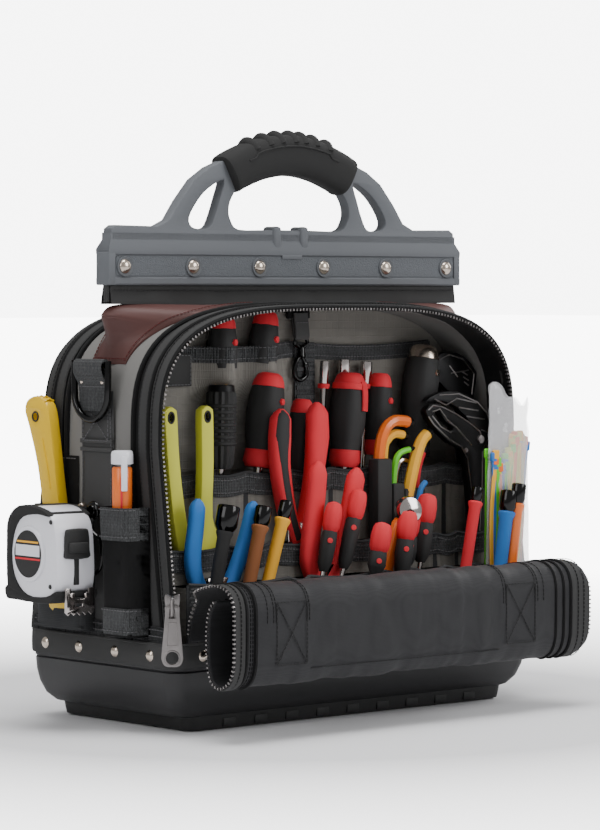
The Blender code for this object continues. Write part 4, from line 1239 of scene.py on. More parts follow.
def build_pocket_rows():
    """Three stepped rows of tool pockets with bound mouths."""
    for name, back_y, front_y, foot, top, edges in ROWS:
        def front_at(u, z, out=0, edges=edges, front_y=front_y, foot=foot, top=top):
            x = edges[0] + (edges[-1] - edges[0]) * u
            cell = max(index for index in range(len(edges) - 1) if edges[index] <= x + 1e-6)
            share = (x - edges[cell]) / (edges[cell + 1] - edges[cell])
            swell = abs(sin(pi * share)) ** 0.6
            lift = 0.45 + 0.55 * (z - foot) / (top - foot)
            y = front_y + 2 - 3.2 * swell * lift + ruffle((x, z, front_y), 16, 0.7) * swell
            droop = -2.4 * sin(pi * share) * (z - foot) / (top - foot)
            return xyz(x, y - out, z + droop)
        width = int((edges[-1] - edges[0]) / 3.4)
        form = cloth(lambda u, v: front_at(u, foot + (top - foot) * v), width, 16, 1.4)
        join(form, cloth(lambda u, v: front_at(u, top - 13.5 + 13.9 * v, 1.1), width, 3, 1.3), 1)
        join(form, ribbon([front_at(step / 150, top + 0.3, -0.2) for step in range(151)], 2.6, 3.4,
            (0, 0, 1)), 3)
        for z in (top - 11.8, top - 2.4):
            join(form, stitches([front_at(step / 200, z, 2.1) for step in range(201)], (0, -1, 0)), 2)
        for edge in edges:
            share = (edge - edges[0]) / (edges[-1] - edges[0])
            share = min(0.9999, share)
            join(form, ribbon([front_at(share, foot + (top - foot) * step / 8, 0.6) for step in range(9)], 5,
                1, (1, 0, 0)), 3)
            divider = cloth(lambda u, v: xyz(edge + ruffle((edge, u * 20, v * 60), 12, 0.8), front_y + 2.6 +
                (back_y - 0.9 - (front_y + 2.6)) * u, foot + 1 + (top - foot - 3) * v), 4, 8, 1.1)
            join(form, divider)
        join(form, cloth(lambda u, v: xyz(edges[0] + (edges[-1] - edges[0]) * u, back_y - 0.9, foot + 1 +
            (top - foot - 3) * v), 30, 6, 1.1))
        join(form, cloth(lambda u, v: xyz(edges[0] + (edges[-1] - edges[0]) * u, front_y + 2 +
            (back_y - front_y - 3) * v, foot + 0.8), 30, 3, 1.2))
        piece(name + "_cloth", form, "lining trim thread dark_lining", node=name)


WALL_DRIVERS_X = (-75, -35)


def build_wall_fittings():
    """The wall pocket, the blank label, the key strap and the snap hook."""
    def at(u, v, out=0):
        x = 288 * (u - 0.5)
        sag = 3.5 * sin(pi * min(1, abs(x) / 144)) * v
        bulge = sum(exp(-((x - middle) / 15) ** 2) for middle in WALL_DRIVERS_X)
        filled = 21 * min(1, bulge) * min(1, max(0, (v - 0.55) / 0.19))
        return xyz(x, -4.2 - 1.4 * sin(pi * v) - filled - out + ruffle((x, v * 60, 5), 18, 0.7), 182 + 94 * v
            - sag)
    form = cloth(lambda u, v: at(u, v), 110, 20, 1.2)
    join(form, cloth(lambda u, v: at(u, 0.88 + 0.12 * v, 0.9), 110, 2, 1), 1)
    for share in (0.9, 0.985):
        join(form, stitches([at(step / 90, share, 1.7) for step in range(91)], (0, -1, 0)), 2)
    for low_x, high_x in ((2.5, 22.5), (-143, -137), (137, 143)):
        join(form, box((low_x, -8, 184), (high_x, -6.4, 275), 0.5), 1)
    for step in range(12):
        join(form, box((3.5, -8.8, 190 + 7 * step), (21.5, -7.6, 193.5 + 7 * step), 0.4, 1), 1)
    piece("wall_pocket_cloth", form, "lining trim thread", node="wall_pocket")
    label = bmesh.new()
    join(label, box((-126, -8.2, 244), (-99, -7.2, 267.5), 0.3))
    join(label, stitches([(-125, -8.3, 245), (-100, -8.3, 245), (-100, -8.3, 266.5), (-125, -8.3, 266.5)],
        (0, -1, 0), loop=True), 1)
    piece("blank_label", label, "tool_black thread")

    strap = bmesh.new()
    loop_line = bent([(7, -4.6, 300), (7, -6.4, 296), (7, -7.9, 286), (7, -8.6, 280), (7, -10.2, 277.6),
        (7, -11.2, 280), (7, -10.4, 287), (7, -9, 297)], 4)
    join(strap, ribbon(loop_line, 14, 1.5, (1, 0, 0)))
    join(strap, stitches([(1.5, -11.1, 290), (12.5, -11.1, 290)], (0, -1, 0)), 1)
    join(strap, box((-4, -7.6, 293), (18, -4.4, 301.5), 0.8), 2)
    piece("key_webbing", strap, "webbing thread dark_seam", node="key_strap")
    hook = bmesh.new()
    eye = [(x, -9.6, z) for x, z in oval(7, 275.5, 6.2, 4, 16)]
    join(hook, pipe(eye, 1.5, 8, True))
    join(hook, turned([(0, 5), (2.4, 4.4), (3.2, 2), (3.2, -2), (4, -4), (0, -5)], 16), 0,
        stand((7, -9.6, 267.8)))
    curl = bent([(7, -9.6, 265), (3, -9.6, 262), (0.8, -9.6, 256), (1.4, -9.6, 249), (6.6, -9.6, 246.8),
        (11.6, -9.6, 249.6), (12.2, -9.6, 254)], 5)
    join(hook, pipe(curl, 1.9, 10))
    join(hook, pipe([(12.2, -9.6, 254), (11.2, -9.6, 259), (8.2, -9.6, 264)], 1.5, 8))
    join(hook, box((9.6, -11.2, 256), (13.4, -8, 260), 0.7))
    piece("key_snap_hook", hook, "black_metal", tool="key_hook")


# ---- drivers


def lobed(radius, lobes=6, depth=0.05, sides=36):
    """A round section with soft lobes."""
    section = []
    for side in range(sides):
        reach = radius * (1 - depth / 2 + depth / 2 * cos(lobes * tau * side / sides))
        section.append((reach * cos(tau * side / sides), reach * sin(tau * side / sides)))
    return section


def soft_body(section, levels):
    """A section carried down a straight handle; levels are (height, share of the section)."""
    return swept(section, [moved(0, 0, height) for height, _ in levels], scales=[(share, share) for _, share
        in levels])


def big_driver(top, lean, length, radius, shaft_length, shaft_radius, cap=1, stripe=False, badge=True):
    """A two-part soft-grip driver; finishes are black, cap colour, steel."""
    form = bmesh.new()
    join(form, turned([(0, 0), (radius * 0.5, -0.3), (radius * 0.68, -2.2), (radius * 0.8, -6),
        (radius * 0.86, -10.4), (radius * 0.8, -11), (0, -11)], 28), cap)
    levels = [(-10.6, 0.84), (-11.4, 0.87), (-18, 0.95), (-28, 1), (-40, 0.98), (-length * 0.72, 0.86),
        (-length * 0.86, 0.76), (-length + 4, 0.84), (-length, 0.62)]
    join(form, soft_body(lobed(radius), levels))
    join(form, turned([(0, -length * 0.83), (radius * 0.8, -length * 0.83), (radius * 0.82, -length * 0.87),
        (radius * 0.86, -length + 3), (radius * 0.7, -length - 1), (0, -length - 1)], 28), 1)
    join(form, turned([(0, 2), (shaft_radius, 2), (shaft_radius, 1 - shaft_length),
        (shaft_radius * 0.6, -shaft_length), (0, -shaft_length)], 16), 2, stand((0, 0, -length)))
    if stripe:
        strip = bent([(0, -radius * 0.82, -7), (0, -radius * 0.93, -13), (0, -radius * 0.985, -22),
            (0, -radius * 1, -29)], 4)
        join(form, ribbon(strip, 7.5, 2, (1, 0, 0)), 1, spun(22))
        join(form, turned([(radius * 0.8, -8), (radius * 0.9, -8.4), (radius * 0.94, -12.8),
            (radius * 0.8, -13.4)], 28), 1)
    if badge:
        spot = stand((0, -radius * 0.97, -21), (0, -1, 0.1))
        join(form, turned([(0, 0.9), (2.4, 0.9), (2.7, 0.3), (2.7, -1), (0, -1)], 6), 1 if cap == 1 else 2,
            spun(18) @ spot)
    shift(form, stand(top, (lean, 0, 1)))
    return form


def build_drivers():
    """Soft-grip drivers, the knurled driver and the interchangeable blades behind them."""
    black_red = "tool_black tool_red steel"
    piece("large_driver", big_driver((-35, -22, 253), 0.16, 70, 14.3, 100, 3.5), black_red,
        tool="driver_large")
    piece("ratchet_handle_driver", big_driver((46, -22, 252), 0.09, 71, 14.3, 100, 3.5, stripe=True,
        badge=False), black_red, tool="ratchet_driver")
    piece("metal_cap_driver", big_driver((124, -22, 272), 0.16, 82, 14.5, 110, 4, cap=2),
        "tool_black tool_black nickel", tool="driver_silver_cap")
    for name, top, lean, length, radius in (("second_driver", (-4, -24, 233), 0.1, 66, 10.4), ("side_driver",
            (79, -20, 251), 0.08, 62, 11), ("wall_driver_left", (-74, -14, 297), 0.02, 31, 11.6),
            ("wall_driver_right", (-31, -14, 299), 0.14, 31, 11.6)):
        piece(name, big_driver(top, lean, length, radius, 60 if "wall" not in name else 8, 3), black_red)

    knurled = bmesh.new()
    join(knurled, soft_body(lobed(11.5, 14, 0.1, 56), [(-4.5, 0.86), (-6.5, 0.98), (-12, 1), (-44, 0.97),
        (-58, 0.86), (-62, 0.7)]))
    join(knurled, turned([(7.4, -2), (8.2, 0), (9.4, -0.6), (10.2, -5), (0, -5), (0, -2.2)], 28), 2)
    for turn in range(5):
        angle = tau * turn / 5
        join(knurled, turned([(0, 0.6), (1.7, 0.3), (1.7, -2), (0, -2)], 8), 1 if turn % 2 else 3, stand((4.6
            * cos(angle), 4.6 * sin(angle), -0.6)))
    for level in range(7):
        join(knurled, turned([(10.9, 0), (11.6, -0.8), (11.6, -2.2), (10.9, -3)], 40), 0,
            stand((0, 0, -14 - level * 4.6)))
    join(knurled, turned([(0, 0), (3, 0), (3, -98), (0, -98)], 14), 4, stand((0, 0, -61)))
    shift(knurled, stand((-82, -22, 245), (0.02, 0, 1)))
    piece("knurled_driver", knurled, "tool_black tool_red phosphate tool_amber steel", tool="driver_knurled")

    blades = bmesh.new()
    for x, top, radius, lean in ((27, 261, 3.4, 0.06), (48.5, 262, 4.9, 0.04), (70, 260, 4.6, 0.07)):
        place = stand((x, -14 if x != 48.5 else -12, top), (lean, 0, 1))
        join(blades, turned([(0, -0.6), (radius * 0.6, -0.6), (radius * 0.7, 0), (radius, -0.5),
            (radius, -17), (radius * 0.8, -19), (0, -19)], 20), 0, place)
        join(blades, turned([(0, -17.5), (radius + 1.1, -17.5), (radius + 1.3, -19), (radius + 1.1, -21),
            (0, -21)], 20), 1, place)
        join(blades, turned([(0, -21), (radius * 0.7, -21), (radius * 0.7, -96), (0, -96)], 16), 0, place)
    piece("spare_blades", blades, "steel tool_red")

    for name, node, top, lean, length, radius in (("slim_driver_1", "insulated_driver_1", (-15, -72.3, 158),
            0.23, 52, 6.3), ("slim_driver_2", "insulated_driver_2", (10, -72.3, 166), 0.29, 60, 6.3),
            ("slim_driver_3", "insulated_driver_3", (73, -63, 150), 0.14, 44, 7), ("slim_driver_4", None,
            (46, -87, 150), 0.16, 50, 7.2), ("slim_driver_5", None, (20, -87, 142), 0.22, 40, 7.2),
            ("slim_driver_6", None, (84, -68, 160), 0.16, 52, 7.2)):
        form = bmesh.new()
        cap_levels = [(-0.2, 0.45), (-1.2, 0.78), (-4, 0.97), (-10, 1.08), (-18, 1.04), (-21.5, 0.86),
            (-22, 0.8)]
        join(form, soft_body(lobed(radius, 8, 0.04, 32), cap_levels), 1)
        join(form, turned([(0, 0.3), (radius * 0.3, 0.2), (radius * 0.42, -0.6), (0, -0.6)], 16), 1)
        join(form, soft_body(lobed(radius, 6, 0.06, 30), [(-21, 0.8), (-23, 0.92), (-32, 0.98),
            (-length + 6, 0.86), (-length, 0.5)]))
        join(form, turned([(0, 0.8), (1.9, 0.7), (2.1, 0), (0, 0)], 16), 1, spun(-30) @
            stand((0, -radius * 0.94, -29), (0, -1, 0)))
        join(form, turned([(0, 0), (2, 0), (2, -44), (0, -44)], 12), 2, stand((0, 0, -length + 1)))
        shift(form, stand(top, (lean, 0, 1)))
        piece(name, form, black_red, tool=node)


def build_nut_drivers():
    """Socket-head drivers with coloured insulating sleeves and a dark disc of painted shade in each socket.
    """
    for name, node, top, lean, head, head_length, sleeve, length, key in (("socket_black",
            "nut_driver_black", (-118, -73.2, 160), 0.22, 8.4, 19, 5, 101, "tool_black"), ("socket_brown",
            "nut_driver_brown", (-84, -72.3, 158), 0.26, 6.3, 15, 5, 99, "tool_brown"), ("socket_amber",
            "nut_driver_yellow", (-62, -72.3, 161), 0.32, 5, 14, 4.7, 94, "tool_amber"), ("socket_red", None,
            (118, -87, 165), 0.21, 4.6, 12, 4.4, 88, "tool_red"), ("socket_blue", None, (141, -98, 162),
            0.17, 6.6, 17, 5.2, 90, "tool_blue"), ("socket_orange", None, (149, -100.5, 167), 0.14, 5.6, 16,
            4.6, 92, "tool_orange")):
        form = bmesh.new()
        hexagon = soft_body(lobed(head, 6, 0.02, 36), [(-1.2, 0.96), (-2, 1), (-head_length + 4, 1),
            (-head_length, 0.72)])
        join(form, hexagon)
        join(form, turned([(head * 0.6, -2), (head * 0.66, -0.2), (head * 0.8, 0), (head * 0.95, -0.6),
            (head, -2), (head * 0.6, -2)], 30))
        # Painted shade: a dark disc sits at the bottom of the socket, standing in for the shade inside the
        # hollow.
        join(form, turned([(0, -0.9), (head * 0.62, -0.9), (head * 0.62, -1.6), (0, -1.6)], 6), 2)
        join(form, turned([(0, -head_length + 1), (sleeve * 1, -head_length + 1),
            (sleeve * 1.28, -head_length), (sleeve * 1.28, -head_length - 1.4), (sleeve, -head_length - 5),
            (sleeve * 0.96, -length), (0, -length)], 22), 1)
        shift(form, stand(top, (lean, 0, 1)))
        piece(name, form, "black_metal %s dark_seam" % key, tool=node)


# ---- pliers


def grip_arm(path, widths, depth):
    """A dipped handle: an oval section along a path, with a width at each point."""
    line = bent(path, 5)
    count = len(line)
    scales = []
    for index in range(count):
        spot = index / (count - 1) * (len(widths) - 1)
        low = min(int(spot), len(widths) - 2)
        width = widths[low] + (widths[low + 1] - widths[low]) * (spot - low)
        from_top = (line[0] - line[index]).length
        close = sqrt(min(1, (from_top + 0.4) / (width / 2))) if index < count // 2 else 1
        scales.append((width / 2 * close, depth / 2 * min(1, close * 1.1)))
    section = [(copysign(abs(cos(a)) ** 0.75, cos(a)), copysign(abs(sin(a)) ** 0.75, sin(a))) for a in (tau
        * step / 22 for step in range(22))]
    return swept(section, frames_along(line, side=(1, 0, 0)), scales=scales)


def edge_line(path, depth, side):
    """A raised bead down one edge of a handle."""
    return pipe([Vector(point) + xyz(side, -depth, 0) for point in bent(path, 4)], 1.6, 8)


def jaws(pivot, tip, depth):
    """The crossed steel head of a pair of pliers below its handles."""
    form = bmesh.new()
    x, y, z = pivot
    join(form, plate([curved(((-13, 20), (-5, 24), (5, 24), (13, 20), (11, 0), (9, -18), (4, tip - z),
        (-4, tip - z), (-9, -18), (-11, 0)), 3)], depth, 0.9), 0, Matrix.Translation(pivot))
    join(form, turned([(0, depth / 2 + 1.2), (3.4, depth / 2 + 0.9), (4.2, depth / 2), (4.2, -depth / 2),
        (0, -depth / 2)], 22), 0, stand(pivot, (0, -1, 0)))
    return form


PLAIN_PLIERS = (("side_cutters", "cutters", "tool_red steel", -60.8, 9.5, ((((-21, 188), (-24, 160),
    (-29, 130), (-30, 112), (-20, 94)), (15, 16, 16, 15, 14)), (((18, 182), (12, 158), (5, 130), (-2, 110),
    (-14, 94)), (15, 16, 15, 14, 14))), ((-17, -60.8, 88), 62, 6)), ("blue_pliers", "pliers_blue",
    "tool_blue steel", -60.8, 8.4, ((((-137, 165), (-139, 145), (-142, 122), (-138, 104), (-126, 88)),
    (12, 13, 13.5, 13, 12)), (((-84, 161), (-90, 140), (-98, 120), (-106, 104), (-116, 88)),
    (11, 12, 12, 12, 12))), ((-120, -60.8, 84), 62, 5.4)))


def etch(form, lines, y):
    """Raised lines on a flat tool, from (x, z) points."""
    for line in lines:
        join(form, pipe([(x, y, z) for x, z in line], 0.6, 6), 1)


def build_pliers():
    """The strippers, pliers, cutters and the pliers wrenches."""
    stripper = bmesh.new()
    for outline, hole in ((((-157, 224), (-155.5, 229), (-151, 231), (-146.5, 229), (-144.8, 224),
            (-142.5, 190), (-136, 148), (-127, 124), (-124, 108), (-136, 104), (-143, 122), (-149, 150),
            (-154, 190)), (-151, 223)), (((-122.8, 224), (-121, 229), (-117, 231), (-112.4, 229),
            (-111, 224), (-110.6, 190), (-111.6, 150), (-106, 136), (-112, 122), (-126, 112), (-134, 116),
            (-129, 132), (-123.6, 160), (-122.4, 190)), (-117, 223))):
        ring = oval(*hole, 2.2, 3.4)
        rim = oval(*hole, 3.3, 4.6)
        join(stripper, plate([curved(outline, 3), ring], 8.4, 1.8), 0, moved(0, -44, 0))
        join(stripper, plate([rim, ring], 9, 0.3), 1, moved(0, -44, 0))
    join(stripper, jaws((-130, -44, 106), 60, 5), 2)
    piece("stripper_pliers", stripper, "tool_lime tool_black steel", tool="wire_stripper")

    nose = bmesh.new()
    left = [(-43, -44, 227), (-44.5, -44, 205), (-44, -44, 182), (-38, -44, 152), (-30, -44, 128)]
    right = [(-8, -44, 231), (-7.4, -44, 205), (-11, -44, 178), (-17, -44, 150), (-25, -44, 126)]
    join(nose, grip_arm(left, (15, 18, 16, 14, 14), 13), 1)
    join(nose, grip_arm([Vector(p) + xyz(-0.6, -1.3, 2 if i else -1) for i, p in enumerate(left)],
        (12, 15, 10, 9, 9), 11.5))
    join(nose, grip_arm(right, (16, 19, 15, 14, 14), 13), 1)
    join(nose, edge_line([Vector(p) + xyz(5.2, 6, 0) for p in right[1:]], 2, 1.2))
    join(nose, jaws((-27, -44, 118), 66, 9), 2)
    piece("long_nose_pliers", nose, "tool_black tool_red steel", tool="pliers_long")

    for name, tool, finishes, y, depth, arms, place in PLAIN_PLIERS:
        form = bmesh.new()
        for line, widths in arms:
            join(form, grip_arm([(x, y, z) for x, z in line], widths, depth))
        join(form, jaws(*place), 1)
        piece(name, form, finishes, tool=tool)

    wrench = bmesh.new()
    lower = ((97, 223), (104, 227.5), (114, 226), (129, 220), (141, 214), (154, 206), (158, 196), (158, 181),
        (158, 162), (156, 128), (152, 92), (146, 92), (147, 128), (144, 156), (139, 185), (133, 193),
        (121, 198), (104, 211), (98, 219))
    mouth = ((105, 221), (111, 222), (117, 214), (126, 209), (122, 206.5), (113, 211))
    upper = ((103, 229), (117, 235.5), (138, 236), (158, 229), (169, 220), (174.5, 209), (173, 199),
        (165, 192), (166, 150), (164, 96), (157, 96), (158, 150), (158, 196), (152, 210), (136, 224),
        (121, 229))
    join(wrench, plate([curved(lower, 2), curved(mouth, 2)], 7, 0.7), 0, moved(0, -48.8, 0))
    join(wrench, plate([curved(upper, 2)], 6, 0.7), 0, moved(0, -42.2, 0))
    etch(wrench, (((99, 223), (104, 226.4), (114, 225), (129, 219), (141, 213), (154, 205), (157, 196)),
        ((99, 218), (105, 211.5), (122, 199.4), (134, 194), (140.5, 185), (145.5, 157), (148, 128)),
        ((103, 221.5), (111, 223.4), (119, 215), (128, 209)), ((103, 218.5), (112, 210), (123, 205)),
        ((131, 207), (143, 196.5)), ((128, 209.5), (141, 198)), ((134, 204.5), (145, 194.5)), ((157, 190),
        (156.4, 162), (154, 128))), -52.4)
    etch(wrench, (((112, 231), (124, 226), (136, 231), (157, 227)), ((138, 224), (159, 221)), ((117, 234),
        (138, 234.5), (158, 227.6), (168, 219), (173, 209)), ((146, 217), (166, 214)), ((162, 206),
        (168, 204))), -45.4)
    join(wrench, turned([(0, 2), (3, 1.6), (3.6, 0), (3.6, -8), (0, -8)], 20), 1, stand((154.5, -52.2, 199),
        (0, -1, 0)))
    join(wrench, turned([(0, 1.2), (1.7, 1), (2, 0), (0, 0)], 16), 1, stand((139, -52.2, 191), (0, -1, 0)))
    for x in (151, 160.5):
        join(wrench, grip_arm([(x, -46, 162), (x, -46, 130), (x - 1, -46, 100), (x - 2, -46, 72)],
            (8, 8.6, 9, 8), 9), 2)
    piece("pliers_wrench_body", wrench, "phosphate gunmetal tool_black", tool="pliers_wrench")

    rear = bmesh.new()
    outline = ((128, 262), (141, 267), (158, 263), (172, 250), (169, 232), (168, 200), (166, 130),
        (158, 130), (156, 200), (152, 228), (138, 238), (126, 250))
    join(rear, plate([curved(outline, 2)], 7, 0.8), 0, moved(0, -27, 0))
    etch(rear, (((131, 261), (142, 264.5), (157, 260.5), (169, 249), (166.5, 233)), ((142, 256), (151, 247)),
        ((158, 243), (163, 240)), ((157, 247), (163, 244)), ((156, 251), (162, 248)), ((144, 250),
        (163, 252))), -30.6)
    piece("rear_pliers_wrench", rear, "phosphate gunmetal")

    ratchet = bmesh.new()
    disc = [(0, 5.4), (5, 5), (9.4, 3.6), (10.8, 1), (10.4, -3), (7, -4.6), (0, -4.6)]
    join(ratchet, turned(disc, 32), 0, stand((48, -84.5, 150), (-0.25, -1, 0.12)))
    join(ratchet, turned([(2.2, 5.5), (3.5, 6), (3.5, 5), (0, 4.9)], 20), 1, stand((46, -84.8, 147),
        (-0.25, -1, 0.12)))
    join(ratchet, grip_arm([(44, -80, 145), (40, -77, 130), (36, -75, 112), (34, -74, 96)], (9, 10, 10, 9),
        8), 2)
    piece("small_ratchet", ratchet, "steel phosphate tool_orange")


# ---- small tools


def build_hex_keys():
    """The hex key holder and its bent, coloured keys."""
    form = bmesh.new()
    for low, high, rounding in (((49, -50, 100), (64.5, -38, 187), 2.2), ((65, -50.5, 100), (77, -38.5, 168),
            2.2), ((77.5, -50, 100), (99, -38, 163.5), 2.2), ((64, -48, 120), (86, -40, 160), 1.5)):
        join(form, box(low, high, rounding))
    keys = ((1, 4.4, ((55, 150), (57, 192), (62, 208), (70, 214.5), (79, 215), (86, 214)), -43), (2, 3.4,
        ((62, 150), (64, 192), (68, 201), (75, 205), (84, 204)), -40), (3, 2.4, ((68, 140), (68.5, 170),
        (71, 185), (76, 191), (85, 193)), -46), (4, 2, ((72, 140), (74, 170), (77, 181), (81, 185),
        (87, 184)), -42), (2, 4.6, ((79, 140), (85, 166), (91, 186), (97, 199), (103, 204.5)), -46.5), (5,
        2.6, ((92, 140), (96, 166), (98.5, 180), (103, 190)), -42), (6, 2.2, ((82, 132), (88, 150),
        (92, 163), (97, 168)), -51.5),)
    for number, radius, line, y in keys:
        path = bent([(x, y, z) for x, z in line], 5)
        join(form, pipe(path, radius, 8), number)
        tip = [path[-1], path[-1] + (path[-1] - path[-3]).normalized() * 5]
        join(form, pipe(tip, radius * 0.72, 6), 8)
    piece("hex_key_holder", form,
        "tool_black tool_orange tool_amber tool_green steel tool_red tool_blue tool_brown phosphate",
        tool="hex_key_set")


def build_tie_bag():
    """A clear bag of bright cable ties."""
    ties = bmesh.new()
    count = bpy.context.scene.pouch_sizes.tie_count
    for index in range(count):
        share = (index * 0.618034) % 1
        depth = -83.9 - 6 * ((index * 0.381966) % 1)
        foot_x = 130 + 36 * share
        head = xyz(131 + 42 * share + 3 * sin(index * 1.7), depth, 190 + 13 * sin(index * 2.4))
        foot = xyz(foot_x, depth, 99)
        middle = head.lerp(foot, 0.5) + xyz(2.5 * sin(index * 3.1), 0, 0)
        join(ties, ribbon(bent([head, middle, foot], 5), 3.8, 1, (1, 0, 0)), index % 5)
        join(ties, box((-3, -1.3, -3.6), (3, 1.3, 3.6), 0.7, 1), index % 5, Matrix.Translation(head) @
            Matrix.Rotation(0.12 * sin(index), 4, "Y"))
    piece("cable_ties", ties, "tool_green tool_orange tool_lime tool_blue tool_amber", body="cable_tie_bag")

    def film(u, v, side):
        x = 126.5 + 47 * u + 5 * v * sin(3 * u + 0.8)
        z = 94 + (141 + 7 * sin(4.4 * u + 1.4) + 3 * sin(13 * u)) * v
        puff = sin(pi * u) * (0.5 + 0.5 * sin(pi * min(1, v * 1.4)))
        y = -87 + side * (0.3 + 4.2 * puff) + ruffle((x, z * 0.6, side * 7), 7, 2.6 * v)
        return xyz(x, y, z)
    bag = cloth(lambda u, v: film(u, v, 1), 26, 40, 0.25)
    join(bag, cloth(lambda u, v: film(u, v, -1), 26, 40, 0.25))
    sheet = piece("clear_bag", bag, "clear_film", tool="cable_tie_bag")


def build_tape_measure():
    """The tape measure with its case, rubber guard, dial, lock and hook."""
    place = moved(-214.6, 10, 126) @ spun(-3)
    form = bmesh.new()
    case = curved(((-30.4, -20), (-30.8, 4), (-27, 24), (-14, 33), (6, 34), (22, 29), (30.6, 14), (31, -14),
        (27, -29), (10, -33.6), (-20, -33)), 4)
    quarter = spun(90)
    join(form, plate([case], 35, 4.5), 0, place @ quarter)
    guard = curved(((-31, 8), (-29, 24), (-16, 34), (6, 34), (20, 30.6), (21.5, 27.6), (8, 28.6), (-10, 26),
        (-20, 16), (-24, 0), (-21, -16), (-10, -27), (6, -31), (14, -31), (14, -34), (-20, -33.8),
        (-30, -26)), 3)
    flipped = [(-a, b) for a, b in guard]
    join(form, plate([flipped], 37.4, 1.6), 1, place @ quarter)
    foot = curved(((-31, -25), (-18, -29.5), (6, -30), (31, -24), (31, -33), (20, -34), (-24, -34)), 3)
    join(form, plate([foot], 37.8, 1.5), 1, place @ quarter)
    for side in (-1, 1):
        dial = place @ stand((side * 17.6, 2.2, 0), (side, 0, 0))
        join(form, turned([(0, 1.5), (17.6, 1.5), (18.6, 1.9), (19.8, 1.4), (20.4, 0), (0, 0)], 44), 0, dial)
        join(form, turned([(0, 1.62), (17, 1.62), (17.2, 1.2), (0, 1.2)], 44), 2, dial)
        for low, high, key in ((-1.5, 6.5, 0), (-4.2, -2.9, 3), (8, 9.4, 4)):
            reach = sqrt(16.4 ** 2 - max(abs(low), abs(high)) ** 2)
            join(form, box((side * 19.2 - 0.25, 2.2 - reach, low), (side * 19.2 + 0.25, 2.2 + reach, high),
                0.1, 1), key, place)
        for x, z in ((-25, 24), (-24, -22), (24, 24)):
            join(form, turned([(0, 0.7), (1.5, 0.6), (1.8, 0), (0, 0)], 12), 2, place @
                stand((side * 17.6, x, z), (side, 0, 0)))
    lock = curved(((-9.5, -10), (9.5, -10), (10.5, -4), (9.5, 9), (6, 11), (-6, 11), (-9.5, 9), (-10.5, -4)),
        3)
    join(form, plate([lock], 4, 1.4), 2, place @ moved(0, -31.6, 8))
    join(form, box((-8.4, -36.6, 1), (8.4, -31, 8.5), 1.8), 2, place @ moved(0, 0, 1))
    join(form, box((-2.2, -31.6, -21), (2.2, -30.6, -2), 0.3), 2, place)
    join(form, box((-10.5, -32.3, -31.8), (10.5, -30.4, -30), 0.4), 2, place)
    plate_outline = [(-12.5, -24), (-7.5, -24), (-7, -29), (-3.5, -32), (3.5, -32), (7, -29), (7.5, -24),
        (12.5, -24)]
    teeth = [(12.5 - 2.5 * step, -43.4 if step % 2 else -41.2) for step in range(11)]
    slot = [(-2.6, -35.4), (2.6, -35.4), (2.6, -37.2), (-2.6, -37.2)]
    join(form, plate([plate_outline + teeth, slot], 1.2, 0.2), 5, place @ moved(1, -33.4, 1))
    for x in (-5, 7):
        join(form, turned([(0, 1.2), (1.5, 1), (2, 0), (0, 0)], 14), 5, place @ stand((x, -34, -28),
            (0, -1, 0)))
    clip = bent([(18.6, -6, 20), (20.4, -6, 14), (20.8, -6, -6), (19.8, -6, -20)], 4)
    join(form, ribbon(clip, 15, 1, (0, 1, 0)), 6, place)
    loop = bent([(19.5, -22, 16), (22, -30, 8), (22, -31, -8), (19.5, -24, -16)], 4)
    join(form, pipe(loop, 1.3, 8), 6, place)
    piece("tape_measure_case", form,
        "tape_white grip_rubber tool_black tool_red tool_amber steel black_metal", tool="tape_measure")


def build_side_tools():
    """The marker pen and the utility knife in the side pockets."""
    marker = bmesh.new()
    section = [(7.4 * cos(a) * (1 if step % 2 else 0.97), 7.4 * sin(a) * (1 if step % 2 else 0.97)) for step,
        a in ((step, tau * step / 16) for step in range(16))]
    join(marker, soft_body(section, [(2, 0.6), (6, 0.96), (99, 1), (112, 1), (113, 0.9)]))
    join(marker, soft_body(lobed(7.9, 4, 0.02, 28), [(115, 1), (115.6, 1.03), (122, 1.02), (124, 0.94),
        (124.6, 0.8)]), 1)
    join(marker, box((-9.3, -2.2, 96), (-6.9, 2.2, 121), 0.7), 1, spun(62))
    join(marker, box((-8.2, -0.7, 84), (-7, 0.7, 106), 0.3), 2, spun(48))
    bmesh.ops.translate(marker, verts=marker.verts, vec=(-191.2, -42, 76))
    piece("marker_body", marker, "tool_orange tape_white tool_red", tool="marker_pen")

    knife = bmesh.new()
    outline = curved(((19.5, 82), (43.5, 82), (47, 120), (50, 150), (57, 186), (67, 214), (72, 226),
        (69, 234), (60, 237), (50, 235), (43, 226), (38, 200), (31, 160), (23, 120)), 3)
    hole = oval(58.5, 222, 2.9, 2.9)
    side_turn = spun(90)
    join(knife, plate([outline, hole], 9.6, 2.2), 0, moved(-187.6, 0, 0) @ side_turn)
    for y, z in ((48, 234.6), (52.6, 236.2), (57.4, 236.6), (62, 236)):
        join(knife, pipe([(-191.6, y, z - 1.2), (-187.6, y, z + 0.4), (-183.6, y, z - 1.2)], 0.9, 6))
    ridge = bent([(-192.4, 40, 170), (-192.6, 45, 190), (-192.4, 50, 206)], 4)
    join(knife, pipe(ridge, 0.9, 6))
    ring = [(-192.3, y, z) for y, z in oval(58.5, 222, 3.4, 3.4)]
    join(knife, pipe(ring, 0.6, 6, True), 1)
    piece("knife_body", knife, "knife_yellow tool_black", tool="utility_knife")


# ---- stage

